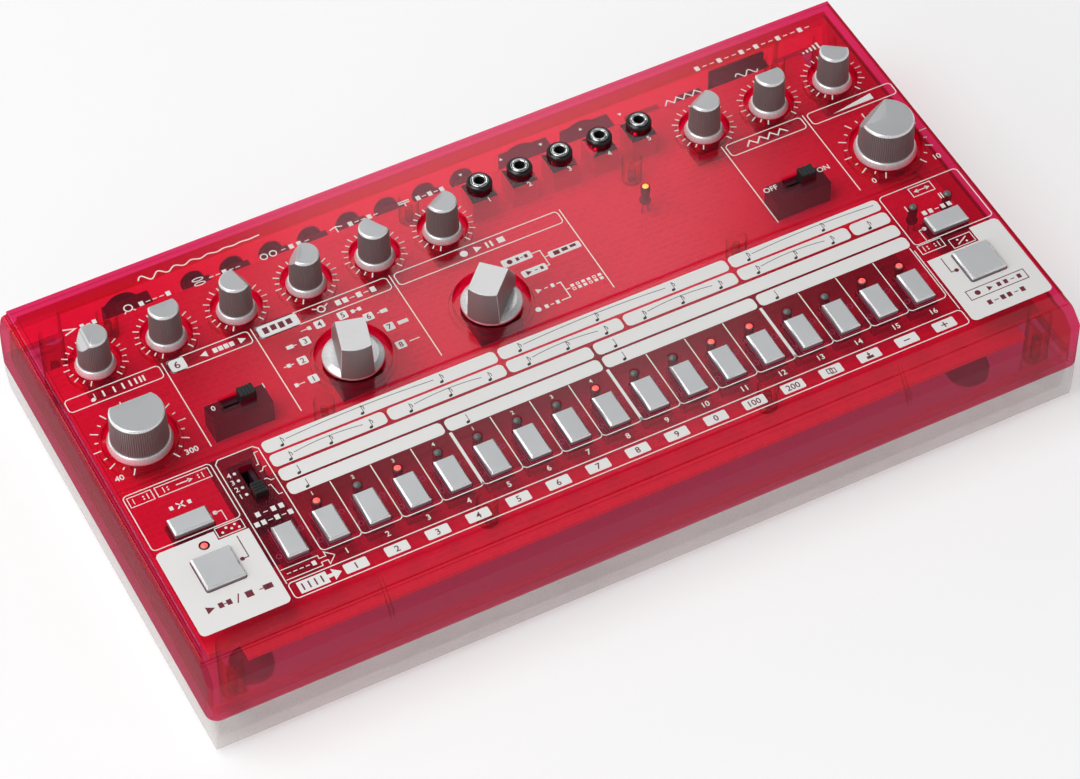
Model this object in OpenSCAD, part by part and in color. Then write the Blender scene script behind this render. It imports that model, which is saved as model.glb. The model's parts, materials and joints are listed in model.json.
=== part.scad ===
// Desk-top drum machine. Millimetres. X to the right, Y to the rear, Z up.
// The origin is the middle of the footprint, on the surface that the feet rest on.

/* [Case] */
// Width of the case at the joint of its two shells
case_w = 305; // [302:1:330]
// Depth of the case at the joint of its two shells
case_d = 163.8; // [160:0.2:180]
// Height of the printed deck above the table
deck_z = 43.6; // [42.6:0.2:50]
// Height of the joint between the two shells
joint_z = 18.2; // [17:0.1:20]
// Thickness of the shell walls
wall = 2.5; // [2:0.1:3]
// Thickness of the deck
deck_t = 2.5; // [2:0.1:3]
// Thickness of the floor
floor_t = 2.5; // [2:0.1:3.5]
// Radius of the upright corners, seen from above
corner_r = 4; // [2:0.5:8]
// Run of the front bevel, from the front wall to the deck
bevel_run = 10.55; // [9:0.05:13]
// Drop of the front bevel, from the deck to the front ridge
bevel_drop = 9.5; // [7:0.1:11]
// Run of the rear slope, from the deck to the rear wall
rear_run = 5.35; // [4:0.05:8]
// Drop of the rear slope
rear_drop = 12.6; // [9:0.1:13]
// Width of the shoulder beside the deck
shoulder_w = 1.95; // [1.6:0.05:3]
// Step from the deck down to the shoulder
shoulder_drop = 2.5; // [1:0.1:4]
// Height of the rounded edge of the shoulder
shoulder_h = 3; // [2:0.1:5]
// Draft of the upper shell's side walls
side_draft = 0.95; // [0.5:0.05:1.5]
// Draft of the front wall
front_draft = 0.5; // [0.2:0.05:1]
// Draft of the rear wall
rear_draft = 1.4; // [0.5:0.05:2]
// Inward taper of the lower shell
lower_taper = 1.45; // [0.5:0.05:2]
// Height of the lower shell's lip inside the upper shell
lip_h = 3; // [2:0.1:4]
// Thickness of the lip
lip_t = 1.2; // [1:0.1:1.4]
// Clearance around the lip
lip_gap = 0.2; // [0.1:0.05:0.3]
// Place of the groove across the deck, from the deck's middle
groove_y = -9.85; // [-10.3:0.05:-9.5]
// Width and depth of the groove
groove_w = 0.6; // [0.4:0.05:0.8]
// Height of the rubber feet under the case
foot_h = 2; // [1.5:0.1:3]
// Radius of the rubber feet
foot_r = 7; // [5:0.5:9]
// Depth of the seats that hold the feet
foot_seat = 0.6; // [0.4:0.1:1]
// Distance of the feet from the sides of the case
foot_in_x = 24.5; // [21:0.5:32]
// Distance of the feet from the front and the rear of the case
foot_in_y = 25.9; // [22:0.1:37]

/* [Knobs] */
// Distance of the outer knobs from the edges of the deck
knob_in = 16.7; // [16:0.1:18]
// Distance between the two knobs beside the deck sockets
socket_zone = 95.91; // [94:0.01:97]
// Place of the upper knob row, from the deck's middle
knob_row_y = 41.95; // [41:0.05:44]
// Place of the lower row of large knobs and selectors
dial_row_y = 7.3; // [7:0.05:8]
// Height of all the knobs above the deck
knob_h = 12.4; // [10:0.1:15]
// Depth of the knobs' lower edge below the deck
knob_sink = 2; // [1:0.1:2.4]
// Depth of the round wells that the knobs sit in
well_depth = 3; // [2.8:0.1:3.4]
// Thickness of the floor of a well
well_floor = 1.3; // [1:0.1:1.5]
// Radius of the well of a small knob
small_well_r = 8.3; // [8:0.1:9]
// Radius of the well of a large knob
large_well_r = 12; // [11.5:0.1:13]
// Radius of the well of a selector
selector_well_r = 12.5; // [12:0.1:13]
// Radius of a small knob's skirt
small_skirt_r = 6.6; // [6.2:0.1:7]
// Radius of a small knob's body, at its foot
small_body_r = 5.4; // [5.2:0.05:5.8]
// Radius of a small knob's body, at its top
small_top_r = 4.9; // [4.6:0.05:5.2]
// Distance of a small knob's pointer facet from its axis
small_facet = 1.95; // [1.5:0.05:3]
// Radius of a large knob's skirt
large_skirt_r = 10.4; // [10:0.1:10.8]
// Radius of a large knob's body, at its foot
large_body_r = 9.25; // [8.8:0.05:9.6]
// Radius of a large knob's body, at its top
large_top_r = 8.75; // [8.4:0.05:9.2]
// Distance of a large knob's pointer facet from its axis
large_facet = 4.66; // [4:0.05:6]
// Radius of a selector's base disc
selector_r = 9.95; // [9.5:0.05:10.5]
// Width of a selector's bar at its top
bar_w = 9.6; // [8:0.1:11]
// Widening of the bar towards the disc, on each side
bar_flare = 0.7; // [0.3:0.1:1]
// Distance of a selector's pointer facet from its axis
selector_facet = 3.06; // [2.5:0.02:4]
// Drop of every pointer facet for each millimetre outwards
facet_slope = 1.52; // [1:0.01:2]
// Radius of the control shafts
shaft_r = 3; // [2.8:0.05:3.1]
// Distance of a shaft's flat from its axis
shaft_flat = 1.8; // [1.5:0.1:2.2]
// Running clearance around a shaft, on the radius
shaft_gap = 0.05; // [0.03:0.01:0.08]

/* [Buttons] */
// Distance of the row of narrow buttons from the side buttons, at the left and at the right
step_in = [23.66, 23.42]; // [23:0.01:24.5]
// Place of the row of buttons, from the deck's middle
button_row_y = -51.1; // [-52:0.1:-50.6]
// Place of the clear and group buttons, from the deck's middle
upper_button_y = -30.9; // [-31.5:0.1:-30.5]
// Width of a step button
step_w = 7; // [6:0.1:7.6]
// Length of a step button
step_l = 12.9; // [11:0.1:13.4]
// Width and length of the large side buttons
side_button_w = 12.9; // [12:0.1:14]
// Length of the short side buttons
short_button_l = 7; // [6:0.1:8]
// Height of the buttons above the deck
button_h = 1.6; // [1.2:0.1:2.5]
// Chamfer around a button's top
button_chamfer = 0.6; // [0.3:0.1:0.8]
// Travel of the buttons
button_travel = 0.8; // [0.5:0.1:1]
// Clearance around a button
button_gap = 0.25; // [0.2:0.05:0.4]

/* [Slide switches] */
// Distance of the two short slide switches from the large knobs
slide_in = [33.25, 32.64]; // [30:0.01:36]
// Place of the short slide switches, from the deck's middle
slide_y = 7.4; // [7:0.1:8]
// Length of a short switch's slot
slot_l = 11.5; // [10:0.1:12]
// Width of a slot
slot_w = 4.7; // [4.2:0.1:5.2]
// Length of a short switch's cap
slide_cap_l = 5.2; // [4:0.1:6]
// Distance of the scale switch from the clear button
scale_in = 23.45; // [23.2:0.05:23.7]
// Place of the scale switch, from the deck's middle
scale_y = -25.2; // [-25.6:0.1:-25]
// Length of the scale switch's slot
scale_slot_l = 13.7; // [13:0.1:14]
// Length of the scale switch's cap
scale_cap_l = 4.6; // [4:0.1:6]
// Height of the slide switch caps above the deck
slide_h = 2.4; // [1.5:0.1:4]
// Clearance around a slide switch cap
slide_gap = 0.3; // [0.25:0.05:0.4]

/* [Lamps] */
// Radius of the lamps
lamp_r = 1.5; // [1.4:0.05:1.6]
// Clearance around a lamp
lamp_gap = 0.1; // [0.05:0.05:0.2]
// Height of a lamp's dome above the deck
lamp_h = 0.5; // [0.2:0.1:1]
// Place of the row of step lamps, from the deck's middle
lamp_row_y = -40.8; // [-41.2:0.1:-40.4]
// Place of the two group lamps, from the group button
group_lamp_at = [-6.3, 6.5]; // [-12:0.1:12]
// Place of the group lamps, from the deck's middle
group_lamp_y = -20.7; // [-22:0.1:-19]
// Distance of the power lamp from the distortion knob
power_lamp_in = 29.86; // [27:0.01:34]
// Place of the power lamp, from the deck's middle
power_lamp_y = 27.2; // [25:0.1:29]

/* [Sockets on the deck] */
// Distance of the row of sockets from the knobs beside it
socket_in = [18.67, 18.64]; // [17:0.01:20]
// Place of the sockets, from the deck's middle
socket_y = 52.7; // [52:0.1:55]
// Radius of a small socket's opening
jack_r = 1.8; // [1.7:0.05:1.9]
// Radius of a small socket's threaded neck
neck_r = 3; // [2.8:0.1:3.2]
// Radius of a small socket's nut
nut_r = 4.2; // [4:0.1:4.6]
// Thickness of a socket nut
nut_t = 2.2; // [1.8:0.1:2.6]

/* [Rear] */
// Distance of the rear panel from the sides of the case
rear_panel_in = 20.5; // [18.5:0.5:22]
// Height of the rear panel
rear_panel_h = 25; // [24:0.5:25.5]
// Thickness of the rear panel
rear_panel_t = 2; // [1.5:0.1:2.5]
// Clearance around the rear panel
rear_panel_gap = 0.25; // [0.2:0.05:0.4]
// Depth of the rear panel's face behind the rear wall
rear_panel_inset = 2; // [1.8:0.1:2.4]
// Height of the rear panel's lower edge above the table
rear_panel_z = 5.6; // [5.5:0.1:6]
// Distance of the power switch from the rear panel's end
switch_in = 15; // [12:0.5:16]
// Distance of the power inlet from the rear panel's end
inlet_in = 34; // [32:0.5:36]
// Distance of the square data socket from the rear panel's end
data_in = 52; // [50:0.5:54]
// Distance of the first five-pin socket from the rear panel's end
din_in = 75; // [73:0.5:76]
// Distance between the two five-pin sockets
din_pitch = 23; // [22:0.5:24]
// Distance of the voice sockets from the five-pin sockets and from the mix socket
voice_in = [21, 25]; // [19:0.5:28]
// Distance of the mix socket from the rear panel's end
mix_in = 22; // [18:0.5:26]
// Height of the sockets' axes above the rear board
rear_axis_h = 9; // [8.6:0.1:9.4]
// Radius of the mix socket's opening
mix_r = 3.2; // [3.15:0.05:3.4]
// Radius of the mix socket's neck
mix_neck_r = 4.5; // [4.3:0.1:5]
// Radius of the mix socket's nut
mix_nut_r = 6.5; // [6:0.1:7]
// Tilt of the power rocker
rocker_tilt = 8; // [5:0.5:10]

/* [Inside] */
// Depth of the front board's top below the deck
board_drop = 12; // [11.5:0.1:12.5]
// Thickness of the two boards
board_t = 1.6; // [1.2:0.1:2]
// Height of the rear board's top above the table
rear_board_z = 10; // [9.5:0.1:10.5]
// Depth of the rear board
rear_board_d = 27; // [26.5:0.5:30]
// Radius of the screw posts that join the shells
post_r = 4; // [3.8:0.1:4.5]
// Radius of the posts that carry the boards
board_post_r = 3.4; // [3:0.1:3.6]
// Radius of the case screws
case_screw_r = 1.5; // [1.3:0.05:1.6]
// Radius of the board screws
board_screw_r = 1.2; // [1:0.05:1.3]
// Clearance around a screw in its thread
thread_gap = 0.05; // [0.02:0.01:0.1]
// Side of a push switch's body
push_w = 6; // [5.5:0.1:6.4]
// Height of a push switch's body
push_h = 4; // [3.8:0.1:4.2]
// Radius of a push switch's plunger
plunger_r = 1.75; // [1.6:0.05:1.9]
// Thickness of the ribs behind the front bevel
rib_t = 1.2; // [0.8:0.1:1.6]
// Distances of the ribs from the sides of the case
rib_in = [62.3, 12.8]; // [10:0.1:90]
// Reach of the ribs below the front ridge
rib_reach = [9.5, 4.5]; // [3:0.1:12]
// Wall of the cups around the wells
cup_wall = 1.3; // [1:0.1:1.6]
// Radius of the case screws' heads
case_head_r = 2.8; // [2.4:0.1:3]
// Radius of the board screws' heads
board_head_r = 2.3; // [2:0.1:2.5]
// Height of the board screws' heads
board_head_h = 1.7; // [1.4:0.1:1.9]
// Length of the case screws' thread in the upper shell
case_thread = 9; // [6:0.5:10]
// Length of the board screws' thread in their posts
board_thread = 5.4; // [4:0.1:6]
// Distances of the rear screw posts from the side and the rear of the case
rear_post_in = [12, 19.3]; // [9:0.1:22]
// Distances of the front screw posts from the side and the front of the case
front_post_in = [11.5, 9]; // [8:0.1:14]
// Distance of the front board from the ends of the deck: front, rear and sides
board_in = [-2.5, 8, 4]; // [-3:0.1:9]
// Distance of the rear board's ends from the case screws
rear_board_in = 12.5; // [10:0.5:16]
// Distance of the rear board's screws from its front edge and its ends
rear_post_edge = [4.5, 4]; // [3.5:0.1:6]

/* [Hidden] */

$fn = 48;
e = 0.01;                                   // overlap that keeps cuts clean
far = 400;                                  // longer than the whole object
flat_gap = 0.3;                             // gap between pieces that must not touch
fit_gap = 0.2;                              // gap around what passes through a hole or window
hole_gap = 0.6;                             // gap around the shafts in the floors of the wells
hole_r = 0.6;                               // radius of the button holes' corners
thread_spare = 1;                           // depth of a screw's hole beyond its thread
steps = 16;

// Frame of the case
jack_out = rear_panel_inset + 1.2;          // reach of the rear necks beyond the panel's face
front_y = -(case_d + jack_out - rear_panel_inset) / 2;
rear_y = front_y + case_d;
half_w = case_w / 2;
shoulder_x = half_w - side_draft;           // outer face at the foot of the shoulder
deck_half_w = shoulder_x - shoulder_w;
deck_front = front_y + bevel_run;
deck_rear = rear_y - rear_run;
deck_y = (deck_front + deck_rear) / 2;      // middle of the deck
ridge_z = deck_z - bevel_drop;
rear_ridge_z = deck_z - rear_drop;
floor_z = foot_h + floor_t;
shoulder_top = deck_z - shoulder_drop;
shoulder_foot = shoulder_top - shoulder_h;

// Control board and rear board
board_z = deck_z - board_drop;
board_low = board_z - board_t;
board_front = deck_front + board_in[0];
board_rear = deck_rear - board_in[1];
board_half_w = deck_half_w - board_in[2];
well_low = deck_z - well_depth - well_floor;
panel_face = rear_y - rear_panel_inset;
panel_back = panel_face - rear_panel_t;
rear_axis_z = rear_board_z + rear_axis_h;
rear_board_half_w = half_w - rear_post_in[0] - rear_board_in;
rear_post_y = panel_back - rear_board_d + rear_post_edge[0];

// Controls of the two knob rows: the rows start at the sides and leave room for the deck sockets
knob_edge_x = deck_half_w - knob_in;
left_knobs = 6;
right_knobs = 3;
knob_pitch = (2 * knob_edge_x - socket_zone) / (left_knobs + right_knobs - 2);
left_knob_x = [for (k = [0:left_knobs - 1]) -knob_edge_x + k * knob_pitch];
right_knob_x = [for (k = [right_knobs - 1:-1:0]) knob_edge_x - k * knob_pitch];
instrument_x = left_knob_x[3];              // the selectors stand below two of the knobs
mode_x = left_knob_x[5];
slide_x = [-knob_edge_x + slide_in[0], knob_edge_x - slide_in[1]];
socket_pitch = (socket_zone - socket_in[0] - socket_in[1]) / 4;
socket_x = left_knob_x[5] + socket_in[0];
power_lamp_x = right_knob_x[0] - power_lamp_in;

// Controls of the lower part: the narrow buttons fill the row between the side buttons
side_button_x = knob_edge_x;
step_pitch = (2 * side_button_x - step_in[0] - step_in[1]) / steps;
step_x = -side_button_x + step_in[0] + step_pitch;
scale_x = -side_button_x + scale_in;
group_lamp_x = [for (at = group_lamp_at) side_button_x + at];

// The rear panel and its sockets, from its end at the right to its end at the left
rear_panel_w = case_w - 2 * rear_panel_in;
panel_end = rear_panel_w / 2;
power_switch_x = panel_end - switch_in;
inlet_x = panel_end - inlet_in;
data_x = panel_end - data_in;
din_x = panel_end - din_in;
mix_x = -panel_end + mix_in;
voice_x = din_x - din_pitch - voice_in[0];
voice_pitch = (voice_x - mix_x - voice_in[1]) / 7;

// Screw places: the case's from the middle of the deck, in x and y, as the front board's are.
// The front board's screws stand clear of the controls beside them.
case_posts = [for (s = [-1, 1]) each
    [[s * (half_w - rear_post_in[0]), rear_y - rear_post_in[1] - deck_y],
     [s * (half_w - front_post_in[0]), front_y + front_post_in[1] - deck_y]]];
post_row = 18.05;                           // distance of the rear screws behind the knob row
post_side = 11.4;                           // and of the outer ones from the outer knobs
low_row = 12.1;                             // distance of the front screws before the button row
low_x = 49;
board_posts = [
    [-knob_edge_x + post_side, knob_row_y + post_row], [knob_edge_x - post_side, knob_row_y + post_row],
    [mode_x - 3.45, knob_row_y + post_row], [right_knob_x[0] - 26.86, knob_row_y + 0.05],
    [instrument_x - 15.91, dial_row_y - 11.8], [slide_x[1] - 29.26, dial_row_y - 11.3],
    [-low_x, button_row_y - low_row], [low_x, button_row_y - low_row]];
rear_post_x = [-rear_board_half_w + rear_post_edge[1], voice_x - 2 * voice_pitch, data_x - 11,
               rear_board_half_w - rear_post_edge[1]];

// Knobs: place, resting direction of the pointer (clockwise from the rear), and size
small_knobs = [
    [left_knob_x[0], -88], [left_knob_x[1], 0], [left_knob_x[2], 78],
    [left_knob_x[3], -55], [left_knob_x[4], 60], [left_knob_x[5], -30],
    [right_knob_x[0], -32], [right_knob_x[1], 0], [right_knob_x[2], 35]];
large_knobs = [[-knob_edge_x, 0], [knob_edge_x, -32]];
selectors = [[instrument_x, 15], [mode_x, 45]];

// Buttons: place and size
step_places = [for (k = [0:steps - 1]) [step_x + k * step_pitch, button_row_y, step_w, step_l]];
function_place = [step_x - step_pitch, button_row_y, step_w, step_l];
clear_place = [-side_button_x, upper_button_y, side_button_w, short_button_l];
start_place = [-side_button_x, button_row_y, side_button_w, side_button_w];
group_place = [side_button_x, upper_button_y, side_button_w, short_button_l];
write_place = [side_button_x, button_row_y, side_button_w, side_button_w];
buttons = concat(step_places, [function_place, clear_place, start_place, group_place, write_place]);

// Slide switches: the caps rest at the right ends and at the front end of their slots
slide_reach = (slot_l - slide_cap_l) / 2 - slide_gap;
scale_reach = (scale_slot_l - scale_cap_l) / 2 - slide_gap;
slide_low = 0.5;                            // the stem's end above the switch's floor
slide_body_h = 8.6;
slide_body_wall = 1.1;
slide_end = 4.3;                            // how far a switch's body goes beyond its slot's ends
slide_side = 1.75;                          // and beyond its slot's sides
track_w = 2.5;                              // width of the track that the stem runs in
track_spare = 0.4;                          // and its length beyond the slot's ends
stem_in = 0.8;                              // how much shorter the stem is than its cap, at each end

lamps = concat(
    [for (k = [0:steps - 1]) [step_x + k * step_pitch, lamp_row_y], [-side_button_x, lamp_row_y]],
    [for (x = group_lamp_x) [x, group_lamp_y], [power_lamp_x, power_lamp_y]]);
deck_sockets = [for (k = [0:4]) socket_x + k * socket_pitch];
voices = [for (k = [0:7]) voice_x - k * voice_pitch];
dins = [din_x, din_x - din_pitch];

// ---------- outlines ----------

// Front-to-rear outline of the whole case, drawn inwards by t
function depth_outline(t) =
    let (slope = atan2(bevel_drop, bevel_run - front_draft),
         rear_slope = atan2(rear_run - rear_draft, rear_drop))
    [[front_y + lower_taper + t, foot_h + (t > 0 ? floor_t : 0)],
     [front_y + t, joint_z],
     [front_y + front_draft + t, ridge_z - t * tan((90 - slope) / 2)],
     [deck_front + t * tan(slope / 2), deck_z - (t > 0 ? deck_t : 0)],
     [deck_rear - t * (1 - sin(rear_slope)) / cos(rear_slope), deck_z - (t > 0 ? deck_t : 0)],
     [rear_y - rear_draft - t, rear_ridge_z],
     [rear_y - t, joint_z],
     [rear_y - lower_taper - t, foot_h + (t > 0 ? floor_t : 0)]];

// Right half of the left-to-right outline, with the rounded shoulder
function half_width_outline() =
    let (flat = 0.4, r = shoulder_w - flat)
    concat([[half_w - lower_taper, foot_h], [half_w, joint_z]],
           [for (a = [0:15:90]) [shoulder_x - r + r * cos(a), shoulder_foot + shoulder_h * sin(a)]],
           [[deck_half_w, shoulder_top], [deck_half_w, deck_z]]);

function half_width_inside(t) =
    [[half_w - lower_taper - t, floor_z], [half_w - t, joint_z], [shoulder_x - t, shoulder_foot - t / 2],
     [deck_half_w - t, shoulder_top - t], [deck_half_w - t, deck_z - deck_t]];

function mirrored(points) = [for (k = [len(points) - 1:-1:0]) [-points[k][0], points[k][1]]];

module rounded(w, l, r, h) {
    linear_extrude(h) {
        square([w - 2 * r, l], center = true);
        square([w, l - 2 * r], center = true);
        for (x = [-1, 1], y = [-1, 1])
            translate([x * (w / 2 - r), y * (l / 2 - r)]) circle(r);
    }
}

// A solid from an outline in the Y-Z plane, w wide
module along_x(points, w) {
    translate([-w / 2, 0, 0]) rotate([90, 0, 90]) linear_extrude(w) polygon(points);
}

// A solid from an outline in the X-Z plane, as long as the case
module along_y(points) {
    translate([0, far / 2, 0]) rotate([90, 0, 0]) linear_extrude(far) polygon(points);
}

// The whole case as a block, before it is hollowed and parted
module case_block() {
    intersection() {
        along_x(depth_outline(0), case_w);
        along_y(concat(half_width_outline(), mirrored(half_width_outline())));
        translate([0, (front_y + rear_y) / 2, 0]) rounded(case_w, case_d, corner_r, deck_z + e);
    }
}

// The hollow of the case, with walls t thick
module case_hollow(t) {
    intersection() {
        along_x(depth_outline(t), case_w);
        along_y(concat(half_width_inside(t), mirrored(half_width_inside(t))));
        translate([0, (front_y + rear_y) / 2, 0])
            rounded(case_w - 2 * t, case_d - 2 * t, max(corner_r - t, 0.5), deck_z);
    }
}

// The space between two heights
module slab(low, high) {
    translate([-far / 2, -far / 2, low]) cube([far, far, high - low]);
}

// Places a child on the deck at x, y from the deck's middle
module on_deck(x, y) {
    translate([x, deck_y + y, deck_z]) children();
}

// A child that points to the rear, on a socket axis
module on_rear(x, z) {
    translate([x, panel_back, z]) rotate([-90, 0, 0]) children();
}

// ---------- the shells ----------

module rear_window(gap) {
    w = rear_panel_w + 2 * gap;
    translate([-w / 2, panel_back - wall, rear_panel_z - gap])
        cube([w, far, rear_panel_h + 2 * gap]);
}

module well(r) {
    translate([0, 0, -well_depth]) cylinder(r = r, h = well_depth + e);
}

module well_cup(r) {
    translate([0, 0, -well_depth - well_floor]) cylinder(r = r + cup_wall, h = well_depth + well_floor - e);
}

module front_rib(x, reach) {
    in = 1;                                 // how far the rib is sunk into the walls
    translate([x, 0, 0])
        along_x([[front_y + in, ridge_z - in / 2], [front_y + in, ridge_z - reach],
                 [deck_front + in, deck_z - deck_t], [deck_front + in, deck_z - in],
                 [deck_front, deck_z - in]], rib_t);
}

module top_posts() {
    for (p = case_posts)
        on_deck(p[0], p[1]) translate([0, 0, joint_z - deck_z]) cylinder(r = post_r, h = deck_z - joint_z);
    for (p = board_posts)
        on_deck(p[0], p[1]) translate([0, 0, -board_drop]) cylinder(r = board_post_r, h = board_drop - 1);
}

module top_holes() {
    for (k = small_knobs) on_deck(k[0], knob_row_y) knob_hole(small_well_r);
    for (k = large_knobs) on_deck(k[0], dial_row_y) knob_hole(large_well_r);
    for (k = selectors) on_deck(k[0], dial_row_y) knob_hole(selector_well_r);
    for (b = buttons)
        on_deck(b[0], b[1]) translate([0, 0, -deck_t - 1])
            rounded(b[2] + 2 * button_gap, b[3] + 2 * button_gap, hole_r, deck_t + 2);
    for (x = slide_x)
        on_deck(x, slide_y) translate([-slot_l / 2, -slot_w / 2, -deck_t - 1]) cube([slot_l, slot_w, deck_t + 2]);
    on_deck(scale_x, scale_y)
        translate([-slot_w / 2, -scale_slot_l / 2, -deck_t - 1]) cube([slot_w, scale_slot_l, deck_t + 2]);
    for (p = lamps) on_deck(p[0], p[1]) translate([0, 0, -deck_t - 1]) cylinder(r = lamp_r + lamp_gap, h = far);
    for (x = deck_sockets) on_deck(x, socket_y) translate([0, 0, -deck_t - 1]) cylinder(r = neck_r + fit_gap, h = far);
    on_deck(0, groove_y) translate([-half_w, -groove_w / 2, -groove_w]) cube([case_w, groove_w, far]);
    for (p = case_posts)
        on_deck(p[0], p[1]) translate([0, 0, joint_z - deck_z - e]) cylinder(r = case_screw_r + thread_gap, h = case_thread + thread_spare + e);
    for (p = board_posts)
        on_deck(p[0], p[1]) translate([0, 0, -board_drop - e]) cylinder(r = board_screw_r + thread_gap, h = board_thread + thread_spare + e);
}

// A well, with the hole in its floor for the shaft
module knob_hole(r) {
    well(r);
    translate([0, 0, -far / 2]) cylinder(r = shaft_r + hole_gap, h = far);
}

module top_case() {
    color([0.78, 0.11, 0.16, 0.6]) difference() {
        intersection() {
            union() {
                difference() {
                    case_block();
                    case_hollow(wall);
                }
                for (k = small_knobs) on_deck(k[0], knob_row_y) well_cup(small_well_r);
                for (k = large_knobs) on_deck(k[0], dial_row_y) well_cup(large_well_r);
                for (k = selectors) on_deck(k[0], dial_row_y) well_cup(selector_well_r);
                for (k = [0:len(rib_in) - 1], s = [-1, 1]) front_rib(s * (half_w - rib_in[k]), rib_reach[k]);
                top_posts();
            }
            case_block();
            slab(joint_z, far);
        }
        top_holes();
        rear_window(rear_panel_gap);
    }
}

lip_end = 3;                                // distance of the lip's ends from the rear panel

module lip() {
    difference() {
        union() {
            intersection() {
                case_hollow(wall + lip_gap);
                slab(joint_z - e, joint_z + lip_h);
            }
            intersection() {                // the thicker rim that the lip grows from
                case_block();
                slab(joint_z - lip_h, joint_z);
            }
        }
        case_hollow(wall + lip_gap + lip_t);
        translate([-panel_end - lip_end, 0, 0]) cube([2 * (panel_end + lip_end), far, far]);
    }
}

module bottom_posts() {
    for (p = case_posts)
        translate([p[0], deck_y + p[1], foot_h]) cylinder(r = case_head_r + flat_gap + post_wall, h = joint_z - foot_h);
    for (x = rear_post_x)
        translate([x, rear_post_y, floor_z - e]) cylinder(r = board_post_r, h = rear_board_z - board_t - floor_z + e);
}

module foot_places() {
    for (x = [-1, 1], y = [-1, 1])
        translate([x * (half_w - foot_in_x), y * (case_d / 2 - foot_in_y), 0]) children();
}

post_wall = 1.3;                            // wall around the case screws' heads
foot_gap = 0.1;                             // clearance of the feet in their seats
screw_head_z = 8;                           // underside of the case screws' heads
screw_seat_z = 10;                          // the shoulder that they pull on
rear_thread = 3;                            // length of the screws' thread in the rear board's posts
post_spare = 0.4;                           // depth of those posts' holes beyond the thread

module bottom_case() {
    color([0.85, 0.85, 0.86, 0.5]) difference() {
        union() {
            intersection() {
                difference() {
                    case_block();
                    case_hollow(wall);
                }
                slab(0, joint_z);
            }
            lip();
            bottom_posts();
        }
        for (p = case_posts) translate([p[0], deck_y + p[1], 0]) {
            cylinder(r = case_head_r + flat_gap, h = screw_seat_z);
            cylinder(r = case_screw_r + fit_gap, h = far);
        }
        for (x = rear_post_x)
            translate([x, rear_post_y, rear_board_z - board_t - rear_thread - post_spare]) cylinder(r = board_screw_r + thread_gap, h = far);
        foot_places() cylinder(r = foot_r + foot_gap, h = foot_h + foot_seat);
        rear_window(rear_panel_gap);
    }
}

module rear_panel() {
    color([0.72, 0.12, 0.18, 0.7]) difference() {
        translate([-rear_panel_w / 2, panel_back, rear_panel_z])
            cube([rear_panel_w, rear_panel_t, rear_panel_h]);
        for (x = voices) on_rear(x, rear_axis_z) translate([0, 0, -1]) cylinder(r = neck_r + fit_gap, h = far);
        on_rear(mix_x, rear_axis_z) translate([0, 0, -1]) cylinder(r = mix_neck_r + fit_gap, h = far);
        for (x = dins) on_rear(x, rear_axis_z) translate([0, 0, -1]) cylinder(r = din_r + fit_gap, h = far);
        rear_cut(data_x, data_w, data_h, data_axis_z);
        rear_cut(inlet_x, inlet_w, inlet_h, inlet_axis_z);
        rear_cut(power_switch_x, switch_w, switch_h, rear_axis_z);
    }
}

// A rectangular hole in the rear panel, with its clearance
module rear_cut(x, w, h, z) {
    translate([x - w / 2 - fit_gap, panel_back - 1, z - h / 2 - fit_gap])
        cube([w + 2 * fit_gap, far, h + 2 * fit_gap]);
}

// ---------- boards ----------

board_clear = 1.5;                          // distance of the front board from the case posts
rear_board_gap = 0.5;                       // distance of the rear board from the rear panel

module front_board() {
    notch = far / 2 - post_r - board_clear; // puts the cutter's edge beside the post
    color("darkgreen") difference() {
        translate([-board_half_w, board_front, board_low])
            cube([2 * board_half_w, board_rear - board_front, board_t]);
        for (p = case_posts)                // the corners, clear of the screw posts
            translate([p[0] + sign(p[0]) * notch, deck_y + p[1] + sign(p[1]) * notch, 0])
                cube([far, far, far], center = true);
        for (p = board_posts)
            translate([p[0], deck_y + p[1], board_low - 1]) cylinder(r = board_screw_r + fit_gap, h = far);
    }
}

module rear_board() {
    color("darkgreen") difference() {
        translate([-rear_board_half_w, panel_back - rear_board_d, rear_board_z - board_t])
            cube([2 * rear_board_half_w, rear_board_d - rear_board_gap, board_t]);
        for (x = rear_post_x)
            translate([x, rear_post_y, 0]) cylinder(r = board_screw_r + fit_gap, h = far);
    }
}

chip_in = [40.6, 43.6];                     // distance of the rows of chips from the board's ends
chip_row = [-48, 30];                       // place of the first row, and distance between the rows
chip_count = [10, 3];
chip_pitch = (2 * board_half_w - chip_in[0] - chip_in[1]) / (chip_count[0] - 1);
chip_size = [10, 6, 1.7];
cap_r = 2.5;
cap_h = 6;
cap_row = 20;                               // distance of the capacitors in front of the rear panel

// Chips under the front board, and upright capacitors on the rear board
module board_chips() {
    color([0.12, 0.12, 0.13]) {
        for (k = [0:chip_count[0] - 1], j = [0:chip_count[1] - 1])
            translate([-board_half_w + chip_in[0] + k * chip_pitch, deck_y + chip_row[0] + j * chip_row[1],
                       board_low - chip_size[2] / 2])
                cube(chip_size, center = true);
        for (x = voices)
            translate([x + voice_pitch / 2, panel_back - cap_row, rear_board_z]) cylinder(r = cap_r, h = cap_h);
    }
}

// ---------- fasteners and feet ----------

module case_screws() {
    color("silver") for (p = case_posts) translate([p[0], deck_y + p[1], 0]) {
        translate([0, 0, screw_head_z]) difference() {
            cylinder(r = case_head_r, h = screw_seat_z - screw_head_z);
            cross_slot(3.2, 0.7);
        }
        translate([0, 0, screw_seat_z - e]) cylinder(r = case_screw_r, h = joint_z + case_thread - screw_seat_z);
    }
}

// The cross for the driver, in a screw head's end
module cross_slot(l, w) {
    slot_depth = 1;
    for (a = [0, 90]) rotate(a) cube([l, w, 2 * slot_depth], center = true);
}

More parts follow.
